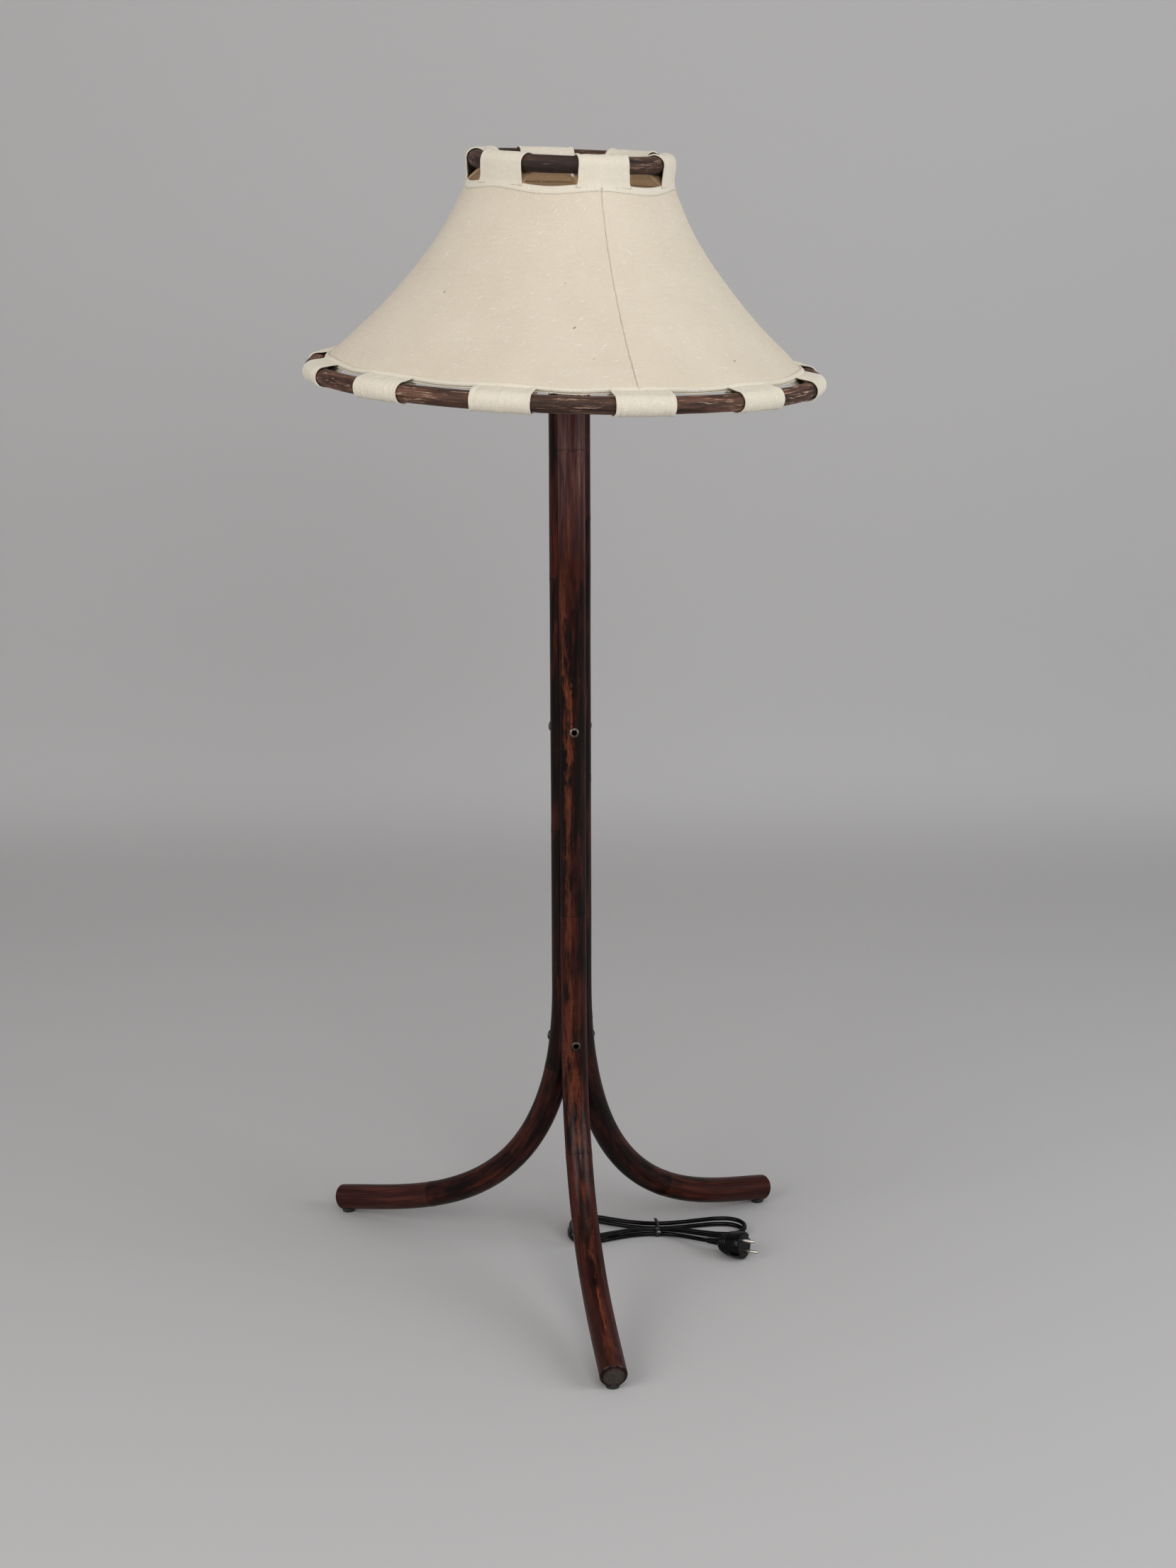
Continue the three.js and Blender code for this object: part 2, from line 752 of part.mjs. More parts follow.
// The shade is made upright, and then leans to the right about a point of the column's axis
function leaning() {
  const toPoint = new THREE.Matrix4().makeTranslation(0, 0, shadeLeanHeight);
  const back = new THREE.Matrix4().makeTranslation(0, 0, -shadeLeanHeight);
  return toPoint.multiply(new THREE.Matrix4().makeRotationY(radians(shadeLeanDegrees))).multiply(back);
}

function makeShadeCarrier() {
  const half = carrierRingThickness / 2;
  const outer = carrierRingDiameter / 2;
  const ring = bushing(shellThreadRadius + fit, [[outer, carrierHeight - half], [outer, carrierHeight + half]], 24);
  const shelfHeight = carrierHeight + half - wireRadius - armDrop;
  let solid = toSolid(ring);
  for (const azimuth of armAzimuths()) {
    const corners = [
      placeRadially(armStartRadius, shelfHeight, azimuth),
      placeRadially(armShelfRadius, shelfHeight, azimuth),
      placeRadially(armTurnRadius, upperHoopHeight, azimuth).applyMatrix4(leaning()),
      placeRadially(armEndRadius(), upperHoopHeight, azimuth).applyMatrix4(leaning()),
    ];
    solid = solid.add(toSolid(wireAlong(bentPath(corners, armBend), wireRadius, 30, 8)));
  }
  addPiece("shade_carrier", toGeometry(solid), "steel");
}

function makeHoops() {
  const upper = new THREE.TorusGeometry(upperHoopDiameter / 2, hoopRadius, hoopSides, upperHoopSegments);
  const sockets = armAzimuths().map((azimuth) => {
    const start = upperHoopDiameter / 2 - hoopThickness;
    return radialRod(wireRadius + fit, azimuth, 0, start, armEndRadius() + fit, 10);
  });
  const drilled = cut(upper, sockets).translate(0, 0, upperHoopHeight);
  addPiece("hoop_upper", drilled.applyMatrix4(leaning()), "rattan");
  const lower = new THREE.TorusGeometry(lowerHoopDiameter / 2, hoopRadius, hoopSides, lowerHoopSegments);
  addPiece("hoop_lower", lower.translate(0, 0, lowerHoopHeight).applyMatrix4(leaning()), "rattan");
}

// The line of the flare from the upper hoop down to the hem, as radius and height
function flareLine() {
  const top = new THREE.Vector2(canvasTopRadius, upperHoopHeight - canvasTopDrop);
  const hem = new THREE.Vector2(lowerHoopDiameter / 2 - hemInset, lowerHoopHeight + hemRise);
  return new THREE.CubicBezierCurve(
    top,
    new THREE.Vector2(top.x + flareTopHandleOut, top.y - flareTopHandleDown),
    new THREE.Vector2(hem.x - flareHemHandleIn, hem.y + flareHemHandleUp),
    hem,
  );
}

// How far the canvas's edge has drawn back between two loops, from 0 under a loop to 1
function scallopShare(azimuth, loops) {
  return (1 - Math.cos(loops * (azimuth - radians(seamTurnDegrees)))) / 2;
}

// Rows of the canvas from the neck to the hem: a share of its length, a distance past it,
// and the thickness there, where the neck is faced and the hem is rolled
function canvasRows() {
  const rows = [
    { share: 0, past: 0, thickness: facingThickness },
    { share: 0, past: facingWidth, thickness: facingThickness },
    { share: 0, past: facingWidth + facingThickness, thickness: canvasThickness },
  ];
  const middleRows = 6;
  for (let row = 1; row <= middleRows; row++) {
    rows.push({ share: row / (middleRows + 1), past: 0, thickness: canvasThickness });
  }
  rows.push({ share: 1, past: -hemWidth - canvasThickness, thickness: canvasThickness });
  rows.push({ share: 1, past: -(hemWidth * 2) / 3, thickness: hemThickness });
  rows.push({ share: 1, past: 0, thickness: hemThickness / 2 });
  return rows;
}

// Half of the canvas, from one seam round to the other
function canvasHalf(startAzimuth) {
  const line = flareLine();
  const length = line.getLength();
  const rows = canvasRows();
  const seamGap = fit / 2 / canvasTopRadius;
  const corners = [];
  for (let column = 0; column <= canvasColumns; column++) {
    const share = column / canvasColumns;
    const azimuth = startAzimuth + seamGap + (Math.PI - 2 * seamGap) * share;
    const start = neckStart + neckScallop * scallopShare(azimuth, upperLoops);
    const end = length - hemScallop * scallopShare(azimuth, lowerLoops);
    for (const row of rows) {
      const at = (start + (end - start) * row.share + row.past) / length;
      const point = line.getPointAt(at);
      const along = line.getTangentAt(at);
      for (const offset of [-canvasThickness / 2, row.thickness - canvasThickness / 2]) {
        corners.push(placeRadially(point.x - along.y * offset, point.y + along.x * offset, azimuth));
      }
    }
  }
  const stride = 2 * rows.length;
  const faces = [];
  const quad = (a, b, c, d) => faces.push(a, b, c, a, c, d);
  for (let column = 0; column < canvasColumns; column++) {
    const [here, next] = [column * stride, (column + 1) * stride];
    for (let row = 0; row < rows.length - 1; row++) {
      const k = 2 * row;
      quad(here + k, next + k, next + k + 2, here + k + 2);
      quad(here + k + 1, here + k + 3, next + k + 3, next + k + 1);
    }
    const k = stride - 2;
    quad(here, here + 1, next + 1, next);
    quad(here + k, next + k, next + k + 1, here + k + 1);
  }
  for (let row = 0; row < rows.length - 1; row++) {
    const k = 2 * row;
    const end = canvasColumns * stride + k;
    quad(k, k + 2, k + 3, k + 1);
    quad(end, end + 1, end + 3, end + 2);
  }
  const geometry = new THREE.BufferGeometry().setFromPoints(corners);
  geometry.setIndex(faces);
  geometry.computeVertexNormals();
  return geometry;
}

// The outline of a strip that leaves its sewn root, runs round a bar and comes back:
// straight to the bar on both sides, and round it in between
function strapOutline(sides, centre, radius, steps) {
  const touches = sides.map((root, i) => {
    const away = root.clone().sub(centre);
    const half = Math.acos(radius / away.length());
    return away.angle() + (i ? -half : half);
  });
  const sweep = THREE.MathUtils.euclideanModulo(touches[1] - touches[0], 2 * Math.PI);
  const clear = radius / Math.cos(sweep / steps / 2); // so that the flats stay clear of the bar
  const outline = [sides[0]];
  for (let step = 0; step <= steps; step++) {
    const angle = touches[0] + (sweep * step) / steps;
    outline.push(new THREE.Vector2(centre.x + clear * Math.cos(angle), centre.y + clear * Math.sin(angle)));
  }
  if (sides[1] !== sides[0]) outline.push(sides[1]);
  return outline;
}

// A cloth loop as a section in radius and height, drawn out sideways and bent round the hoop
function loopGeometry(root, centre, azimuth, steps) {
  const inward = centre.clone().sub(root).normalize();
  const sideways = new THREE.Vector2(inward.y, -inward.x).multiplyScalar(loopThickness);
  const slackRadius = hoopRadius + loopSlack;
  const outerSides = [root.clone().add(sideways), root.clone().sub(sideways)];
  const shape = new THREE.Shape(strapOutline(outerSides, centre, slackRadius + loopThickness, 8));
  const split = root.clone().addScaledVector(inward, loopRoot);
  shape.holes.push(new THREE.Path(strapOutline([split, split], centre, slackRadius, 8)));
  const geometry = new THREE.ExtrudeGeometry(shape, { depth: loopWidth, steps, bevelEnabled: false });
  const span = loopWidth / (centre.x + slackRadius + loopThickness);
  const position = geometry.attributes.position;
  for (let i = 0; i < position.count; i++) {
    const angle = azimuth - (position.getZ(i) / loopWidth - 1 / 2) * span;
    const point = placeRadially(position.getX(i), position.getY(i), angle);
    position.setXYZ(i, point.x, point.y, point.z);
  }
  return geometry;
}

function makeCanvas() {
  const seam = radians(seamTurnDegrees);
  addPiece("canvas_right", canvasHalf(seam).applyMatrix4(leaning()), "canvas");
  addPiece("canvas_left", canvasHalf(seam + Math.PI).applyMatrix4(leaning()), "canvas");

  const line = flareLine();
  const neck = line.getPointAt(neckStart / line.getLength());
  const neckUp = line.getTangentAt(neckStart / line.getLength()).negate();
  const upperRoot = neck.addScaledVector(neckUp, fit);
  const upperMiddle = new THREE.Vector2(upperHoopDiameter / 2, upperHoopHeight);
  for (let loop = 0; loop < upperLoops; loop++) {
    const azimuth = seam + (2 * Math.PI * loop) / upperLoops;
    let geometry = loopGeometry(upperRoot, upperMiddle, azimuth, 4);
    if (loop % (upperLoops / arms) === 0) {
      const slit = radialRod(wireRadius + 2 * fit, azimuth, upperHoopHeight, armShelfRadius, upperMiddle.x, 10);
      geometry = cut(geometry, [slit]);
    }
    addPiece(`loop_upper_${loop + 1}`, geometry.applyMatrix4(leaning()), "canvas");
  }

  const hemDown = line.getTangentAt(1);
  const lowerRoot = line.getPointAt(1).addScaledVector(hemDown, fit);
  const lowerMiddle = new THREE.Vector2(lowerHoopDiameter / 2, lowerHoopHeight);
  for (let loop = 0; loop < lowerLoops; loop++) {
    const azimuth = seam + (2 * Math.PI * loop) / lowerLoops;
    const geometry = loopGeometry(lowerRoot, lowerMiddle, azimuth, 3);
    addPiece(`loop_lower_${loop + 1}`, geometry.applyMatrix4(leaning()), "canvas");
  }
}

// A point of the hank. The angle runs on from loop to loop: 0 at the left end, 90 at the waist in
// front, 180 at the right end. The loops close in towards the turn and open again below it.
function hankPoint(degrees) {
  const angle = radians(degrees);
  const away = Math.abs(degrees - hankTurnDegrees) / 360;
  const waist = hankWaist + hankPitch * away;
  const spreadMean = (hankSpreadLeft + hankSpreadRight) / 2 + hankSpreadStep * away;
  const spread = spreadMean + ((hankSpreadLeft - hankSpreadRight) / 2) * Math.cos(angle);
  const fall = THREE.MathUtils.smoothstep(degrees, hankTurnDegrees - 90, hankTurnDegrees + 90);
  const lift = cordRadius + hankFloorRoom + hankTieRoom * Math.sin(angle) ** 2;
  return new THREE.Vector3(
    hankMiddle.x - (hankHalfLength + (hankPitch * away) / 2) * Math.cos(angle),
    hankMiddle.y - Math.sin(angle) * (waist + spread * Math.cos(angle) ** 2),
    lift + hankPitch * (1 - fall),
  );
}

// The plug lies on the back edge of its rim, so its face looks up a little
function plugAxis() {
  const tilt = radians(plugTiltDegrees);
  return placeRadially(Math.cos(tilt), Math.sin(tilt), radians(plugTurnDegrees));
}

function plugFace() {
  const tilt = radians(plugTiltDegrees);
  const height = (plugDiameter / 2) * Math.cos(tilt) + plugRimLength * Math.sin(tilt) + plugFloorRoom;
  return new THREE.Vector3(plugFaceX, plugFaceY, height);
}

function plugEnd() {
  const back = plugRimLength + plugTaperLength + plugReliefLength + fit;
  return plugFace().addScaledVector(plugAxis(), -back);
}

function hankRoute() {
  const route = [];
  const stepDegrees = 360 / hankLoopSteps;
  for (let degrees = hankStartDegrees; degrees < hankEndDegrees; degrees += stepDegrees) {
    route.push(hankPoint(degrees));
  }
  const leave = hankPoint(hankEndDegrees);
  const onward = leave.clone().sub(hankPoint(hankEndDegrees - 1)).setLength(hankLeaveHandle);
  const finish = plugEnd();
  const straight = finish.clone().addScaledVector(plugAxis(), -cordDiameter);
  const into = straight.clone().addScaledVector(plugAxis(), -hankArriveHandle);
  route.push(...new THREE.CubicBezierCurve3(leave, leave.clone().add(onward), into, straight).getPoints(8));
  route.push(finish);
  const first = route[1].clone().sub(route[0]).setLength(cordDiameter);
  return [route[0], route[0].clone().add(first), ...route.slice(1)];
}

// The least room between two stretches of the hank that aren't neighbours along it
function leastHankGap(route) {
  const points = new THREE.CatmullRomCurve3(route, false, "chordal").getSpacedPoints(900);
  const spacing = points[0].distanceTo(points[1]);
  const apart = Math.ceil((4 * cordDiameter) / spacing);
  let least = Infinity;
  for (let i = 0; i < points.length; i++) {
    for (let j = i + apart; j < points.length; j++) least = Math.min(least, points[i].distanceTo(points[j]));
  }
  return least - cordDiameter;
}

function makeCord() {
  const hank = hankRoute();
  console.log(`least gap of the hank to itself: ${leastHankGap(hank).toFixed(2)} mm`);
  addPiece("cord_hank", roundBar(hank, hank.map(() => cordRadius), hankSides), "vinyl");

  const into = hank[1].clone().sub(hank[0]).normalize();
  const meet = hank[0].clone().addScaledVector(into, -fit);
  const points = cordRoute.map(([x, y, z]) => new THREE.Vector3(x, y, z));
  points.push(meet.clone().addScaledVector(into, -cordDiameter), meet);
  const curve = new THREE.CatmullRomCurve3(points, false, "chordal");
  const steps = Math.round(curve.getLength() / cordDiameter / 2);
  addPiece("cord_free", wireAlong(curve, cordRadius, steps, 8), "vinyl");
}

// A band round the hank's waist whose twisted ends stand up
function makeTie() {
  const reach = cordRadius + tieRoom;
  const front = hankPoint(hankEndDegrees).y - reach;
  const back = hankPoint(hankTurnDegrees - 180).y + reach;
  const foot = hankPoint(hankEndDegrees).z - reach;
  const top = hankPoint(hankTurnDegrees - 180).z + reach;
  const outline = (grow, corner) => {
    const path = new THREE.Shape();
    const [low, high] = [new THREE.Vector2(front - grow, foot - grow), new THREE.Vector2(back + grow, top + grow)];
    path.absarc(high.x - corner, high.y - corner, corner, 0, Math.PI / 2);
    path.absarc(low.x + corner, high.y - corner, corner, Math.PI / 2, Math.PI);
    path.absarc(low.x + corner, low.y + corner, corner, Math.PI, (3 * Math.PI) / 2);
    path.absarc(high.x - corner, low.y + corner, corner, (3 * Math.PI) / 2, 2 * Math.PI);
    return path;
  };
  const band = outline(tieThickness, cordRadius);
  band.holes.push(outline(0, cordRadius - tieThickness));
  const middle = hankPoint(hankEndDegrees).x;
  const ring = new THREE.ExtrudeGeometry(band, { depth: tieWidth, bevelEnabled: false, curveSegments: 3 })
    .rotateX(Math.PI / 2)
    .rotateZ(Math.PI / 2)
    .translate(middle - tieWidth / 2, 0, 0);
  const tailFoot = new THREE.Vector3(middle, (front + back) / 2, top + tieThickness / 2);
  const tailTop = tailFoot.clone().add(new THREE.Vector3(-tieTailLength / 3, 0, tieTailLength));
  const tail = wireAlong(new THREE.LineCurve3(tailFoot, tailTop), tieTailDiameter / 2, 1, 6);
  addPiece("cord_tie", toGeometry(toSolid(ring).add(toSolid(tail))), "rubber");
}

// The plug points along +Z while it is made, with its face at zero
function makePlug() {
  const plug = new THREE.Group();
  const [rim, heel] = [plugDiameter / 2, plugHeelDiameter / 2];
  const shoulder = -plugRimLength - plugTaperLength;
  const body = turned(
    [
      [0, shoulder - plugReliefLength],
      [plugEndDiameter / 2, shoulder - plugReliefLength],
      [plugReliefDiameter / 2, shoulder],
      [heel, shoulder],
      [heel + plugEdge, shoulder + plugTaperLength / 3],
      [rim - plugEdge, -plugRimLength],
      [rim, -plugRimLength + plugEdge],
      [rim, -plugEdge],
      [rim - plugEdge, 0],
      [0, 0],
    ],
    24,
  );
  const cutters = [];
  for (const side of [-1, 1]) {
    cutters.push(
      new THREE.CylinderGeometry(pinDiameter / 2 + fit, pinDiameter / 2 + fit, pinSeat + overrun, 10)
        .rotateX(Math.PI / 2)
        .translate((side * pinSpacing) / 2, 0, (overrun - pinSeat) / 2),
    );
    cutters.push(
      new THREE.BoxGeometry(plugSlotWidth, 2 * plugSlotDepth, 2 * (plugRimLength - plugEdge)).translate(0, side * rim, 0),
    );
    const pin = new THREE.CylinderGeometry(pinDiameter / 2, pinDiameter / 2, pinLength + pinSeat - 2 * fit, 10)
      .rotateX(Math.PI / 2)
      .translate((side * pinSpacing) / 2, 0, (pinLength - pinSeat) / 2 + fit);
    addPiece(side < 0 ? "plug_pin_low" : "plug_pin_high", pin, "nickel", plug);
  }
  addPiece("plug_body", cut(body, cutters), "vinyl", plug);
  const upright = Math.PI / 2 - radians(plugTiltDegrees);
  plug.rotation.set(0, upright, radians(plugTurnDegrees), "ZYX");
  plug.rotateZ(radians(pinTwistDegrees));
  plug.position.copy(plugFace());
  lamp.add(plug);
}

makeCanes();
makeCore();
makeBolts();
makeGlides();
makeGland();
makeColumnHead();
makeLampholder();
makeSwitchKnob();
makeShadeRings();
makeBulb();
makeShadeCarrier();
makeHoops();
makeCanvas();
makeCord();
makeTie();
makePlug();

// The origin lies on the floor, in the middle of the box round the lamp without its lead
const lying = new Set(["cord_free", "cord_hank", "cord_tie", "plug_body", "plug_pin_low", "plug_pin_high"]);
const box = new THREE.Box3();
lamp.updateMatrixWorld(true);
lamp.traverse((piece) => {
  if (piece.isMesh && !lying.has(piece.name)) box.expandByObject(piece, true);
});
const middle = box.getCenter(new THREE.Vector3());
lamp.position.set(-middle.x, -middle.y, 0);
console.log(`column axis at ${(-middle.x).toFixed(3)}, ${(-middle.y).toFixed(3)} mm`);

export default lamp;
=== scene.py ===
# The rattan floor lamp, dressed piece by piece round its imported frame, from the camera and the lead
# up through the stand and the lampholder to the shade, and last the floor and the lamps.
# Lengths are in millimetres from the column's axis until a piece is placed.
import bisect
import math
import random

import bmesh
import bpy
from mathutils import Matrix, Vector, noise
from mathutils.geometry import interpolate_bezier


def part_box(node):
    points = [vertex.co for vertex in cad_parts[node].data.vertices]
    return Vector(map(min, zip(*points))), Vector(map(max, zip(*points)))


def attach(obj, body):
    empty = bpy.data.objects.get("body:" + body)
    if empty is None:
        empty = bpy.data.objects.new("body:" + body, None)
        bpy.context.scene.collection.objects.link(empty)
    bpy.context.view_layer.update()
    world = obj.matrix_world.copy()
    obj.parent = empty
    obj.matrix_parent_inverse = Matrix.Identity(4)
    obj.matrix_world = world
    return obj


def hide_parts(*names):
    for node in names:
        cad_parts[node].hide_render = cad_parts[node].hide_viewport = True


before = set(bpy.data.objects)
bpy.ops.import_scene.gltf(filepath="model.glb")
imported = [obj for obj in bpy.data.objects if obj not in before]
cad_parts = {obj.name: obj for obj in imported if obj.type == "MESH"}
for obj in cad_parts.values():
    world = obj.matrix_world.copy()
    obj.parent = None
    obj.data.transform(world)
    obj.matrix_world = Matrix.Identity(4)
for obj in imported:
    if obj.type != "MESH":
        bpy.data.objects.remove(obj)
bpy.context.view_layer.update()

# The camera. It stands 3.4 m in front of the lamp at head height and looks a little down, as the
# photograph was taken. Its place and lens come from a fit to the legs, the column and the hoops.
CAMERA_BESIDE = 16.46
CAMERA_AWAY = 3377.3
CAMERA_HEIGHT = 1591.3
CAMERA_TILT = math.radians(74.887)
CAMERA_YAW = -0.0015
CAMERA_ROLL = -0.0026
LENS = 61.69

core_low, core_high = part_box("core_tube")
column_x = (core_low[0] + core_high[0]) / 2
column_y = (core_low[1] + core_high[1]) / 2


def from_column(x, y, z):
    """Millimetres from the column's axis and the floor, as a place in the frame."""
    return Vector((column_x + x / 1000, column_y + y / 1000, z / 1000))


camera = bpy.data.objects.new("camera", bpy.data.cameras.new("camera"))
bpy.context.scene.collection.objects.link(camera)
bpy.context.scene.camera = camera
camera.data.lens = LENS
camera.data.clip_end = 30
camera.location = from_column(CAMERA_BESIDE, -CAMERA_AWAY, CAMERA_HEIGHT)
turned_round = Matrix.Rotation(CAMERA_YAW, 4, "Z") @ Matrix.Rotation(CAMERA_TILT, 4, "X")
camera.rotation_euler = (turned_round @ Matrix.Rotation(CAMERA_ROLL, 4, "Z")).to_euler()

# The mains lead. A round black PVC lead of 6 mm leaves the rubber sleeve under the column, drops
# behind the front leg and lies on the floor as a hank of two and a half loops, folded flat and tied.
LEAD_DIAMETER = 6
LEAD_EXIT_HEIGHT = 267.7
FREE_ROUTE = [
    (0, 0, 267.4), (0, 0, 252), (0, 1, 234), (0.2, 5, 205), (0.5, 12, 168), (1, 21.5, 128),
    (1.5, 31, 90), (2, 39.5, 57), (3, 44.5, 33), (6.2, 48.5, 22), (12, 52.6, 15.2), (19, 56, 11.9),
]
HANK_MIDDLE = (117, 97)
HANK_HALF_LENGTH = 120
HANK_WAIST = 3.5
HANK_PITCH = 7.2
HANK_SPREADS = (76, 42)
HANK_SPREAD_STEP = 10
HANK_FLOOR_ROOM = 0.2
HANK_TIE_ROOM = 1.3
HANK_START, HANK_TURN, HANK_END, HANK_STEP = 45, 450, 810, 15
LEAVE_HANDLE = 25
ARRIVE_HANDLE = 12
PLUG_FACE = (234, 12)
PLUG_DIAMETER = 37
PLUG_RIM = 14
PLUG_TAPER = 24
PLUG_RELIEF = 20
PLUG_TURN = math.radians(-33)
PLUG_TILT = math.radians(6.5)
PLUG_ROOM = 0.2
PLUG_LEAD_GAP = 0.3


def srgb(code):
    """A colour written as rrggbb, turned to linear light."""
    parts = [int(code[i:i + 2], 16) / 255 for i in (0, 2, 4)]
    return (*[c / 12.92 if c <= 0.04045 else ((c + 0.055) / 1.055) ** 2.4 for c in parts], 1)


def add_node(tree, kind, inputs=None, **settings):
    """Adds a node with its settings, and sets or links each input."""
    node = tree.nodes.new(kind)
    for name, value in settings.items():
        setattr(node, name, value)
    for socket, value in (inputs or {}).items():
        if isinstance(value, bpy.types.NodeSocket):
            tree.links.new(value, node.inputs[socket])
        else:
            node.inputs[socket].default_value = value
    return node


def start_material(name, **sockets):
    """A material with one surface shader, whose plain values are set on its own sockets."""
    material = bpy.data.materials.new(name)
    material.use_nodes = True
    surface = material.node_tree.nodes["Principled BSDF"]
    for socket, value in sockets.items():
        surface.inputs[socket.replace("_", " ")].default_value = value
    return material, material.node_tree, surface


def dress(tree, surface, **sources):
    """Links a source to each of the surface's sockets named here."""
    for socket, source in sources.items():
        tree.links.new(source, surface.inputs[socket.replace("_", " ")])


def speckle(tree, place, scale, wrap=None, **inputs):
    """Noise over a place, in four dimensions where the place wraps round."""
    inputs = {"Vector": place, "Scale": scale, **inputs}
    if wrap is None:
        return add_node(tree, "ShaderNodeTexNoise", inputs).outputs["Fac"]
    inputs["W"] = wrap
    return add_node(tree, "ShaderNodeTexNoise", inputs, noise_dimensions="4D").outputs["Fac"]


def in_piece(tree):
    """The place within a piece, in metres."""
    return add_node(tree, "ShaderNodeTexCoord").outputs["Object"]


def ranged(tree, value, old=(0, 1), new=(0, 1), **settings):
    """A value carried from one range to another, and kept within it."""
    ends = {"From Min": old[0], "From Max": old[1], "To Min": new[0], "To Max": new[1]}
    return add_node(tree, "ShaderNodeMapRange", {"Value": value, **ends}, **settings).outputs["Result"]


def mixed(tree, share, first, second):
    """One colour, a code or a socket, turned into another by a share."""
    colours = [srgb(colour) if isinstance(colour, str) else colour for colour in (first, second)]
    mix = add_node(tree, "ShaderNodeMix", {0: share, 6: colours[0], 7: colours[1]}, data_type="RGBA")
    return mix.outputs[2]


def bumped(tree, height, strength, depth, **under):
    """A height turned into relief, over another relief where one is given."""
    inputs = {"Height": height, "Strength": strength, "Distance": depth, **under}
    return add_node(tree, "ShaderNodeBump", inputs).outputs["Normal"]


def mottled(name, scale, tones=None, gloss=None, relief=None, detail=2.0, broken=0.5, **sockets):
    """A material whose colour, gloss and relief follow one noise through the piece."""
    material, tree, surface = start_material(name, **sockets)
    place = in_piece(tree)
    mottle = speckle(tree, place, scale, Detail=detail, Roughness=broken)
    if tones:
        dress(tree, surface, Base_Color=mixed(tree, mottle, *tones))
    if gloss:
        dress(tree, surface, Roughness=ranged(tree, mottle, new=gloss))
    if relief:
        dress(tree, surface, Normal=bumped(tree, mottle, *relief))
    return material


def hank_point(degrees):
    angle = math.radians(degrees)
    away = abs(degrees - HANK_TURN) / 360
    waist = HANK_WAIST + HANK_PITCH * away
    spread = sum(HANK_SPREADS) / 2 + HANK_SPREAD_STEP * away
    spread += (HANK_SPREADS[0] - HANK_SPREADS[1]) / 2 * math.cos(angle)
    fall = min(max((degrees - HANK_TURN + 90) / 180, 0), 1)
    fall = fall * fall * (3 - 2 * fall)
    lift = LEAD_DIAMETER / 2 + HANK_FLOOR_ROOM + HANK_TIE_ROOM * math.sin(angle) ** 2
    return Vector((
        HANK_MIDDLE[0] - (HANK_HALF_LENGTH + HANK_PITCH * away / 2) * math.cos(angle),
        HANK_MIDDLE[1] - math.sin(angle) * (waist + spread * math.cos(angle) ** 2),
        lift + HANK_PITCH * (1 - fall),
    ))


plug_axis = Vector((
    math.cos(PLUG_TURN) * math.cos(PLUG_TILT),
    math.sin(PLUG_TURN) * math.cos(PLUG_TILT),
    math.sin(PLUG_TILT),
))
plug_face = Vector((
    *PLUG_FACE,
    PLUG_DIAMETER / 2 * math.cos(PLUG_TILT) + PLUG_RIM * math.sin(PLUG_TILT) + PLUG_ROOM,
))
plug_end = plug_face - plug_axis * (PLUG_RIM + PLUG_TAPER + PLUG_RELIEF + PLUG_LEAD_GAP)

hank = [hank_point(degrees) for degrees in range(HANK_START, HANK_END, HANK_STEP)]
leaving = hank_point(HANK_END)
onward = (leaving - hank_point(HANK_END - 1)).normalized() * LEAVE_HANDLE
straight_end = plug_end - plug_axis * LEAD_DIAMETER
arrive_from = straight_end - plug_axis * ARRIVE_HANDLE
hank += interpolate_bezier(leaving, leaving + onward, arrive_from, straight_end, 9)
hank.append(plug_end)
into_hank = (hank[1] - hank[0]).normalized() * LEAD_DIAMETER
lead_route = [Vector(point) for point in FREE_ROUTE]
lead_route += [hank[0] - into_hank, hank[0], hank[0] + into_hank] + hank[1:]

lead_curve = bpy.data.curves.new("mains_lead", "CURVE")
lead_curve.dimensions = "3D"
lead_curve.bevel_depth = LEAD_DIAMETER / 2000
lead_curve.bevel_resolution = 5
lead_curve.resolution_u = 8
lead_curve.use_fill_caps = True
lead_line = lead_curve.splines.new("BEZIER")
lead_line.bezier_points.add(len(lead_route) - 1)
for bead, point in zip(lead_line.bezier_points, lead_route):
    bead.co = from_column(*point)
    bead.handle_left_type = bead.handle_right_type = "AUTO"
mains_lead = bpy.data.objects.new("mains_lead", lead_curve)
bpy.context.scene.collection.objects.link(mains_lead)

# Extruded PVC: black and half glossy, with a slow unevenness and a little dust that greys it
pvc, tree, surface = start_material(
    "extruded_black_pvc", Roughness=0.36, IOR=1.5, Specular_IOR_Level=0.14,
)
place = in_piece(tree)
dust = speckle(tree, place, 90.0, Detail=4.0)
greyed = ranged(tree, dust, old=(0.45, 0.75))
ripple = speckle(tree, place, 160.0, Detail=2.0)
dress(
    tree, surface, Base_Color=mixed(tree, greyed, "030304", "0c0c0b"),
    Roughness=ranged(tree, dust, new=(0.12, 0.34)), Normal=bumped(tree, ripple, 0.15, 0.0006),
)
lead_curve.materials.append(pvc)
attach(mains_lead, "stand")
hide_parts("cord_free", "cord_hank")

# The tie. A twist tie, a wire in a flat black plastic ribbon, goes once round the hank's waist,
# and its two ends are wrung together and stand up.
TIE_WIDTH = 5
TIE_THICKNESS = 0.9
TIE_ROOM = 0.4
TIE_CORNER = 2.9
TAIL_LENGTH = 8.5
TAIL_STRAND = 2.1
TAIL_TURNS = 2
TAIL_CLOSE, TAIL_OPEN, TAIL_PARTS_AT = 1.05, 0.9, 0.72
WIRE_END_RADIUS = 0.5
WIRE_CURL = (1.9, 1.5)
WIRE_CURL_RISE = 0.15


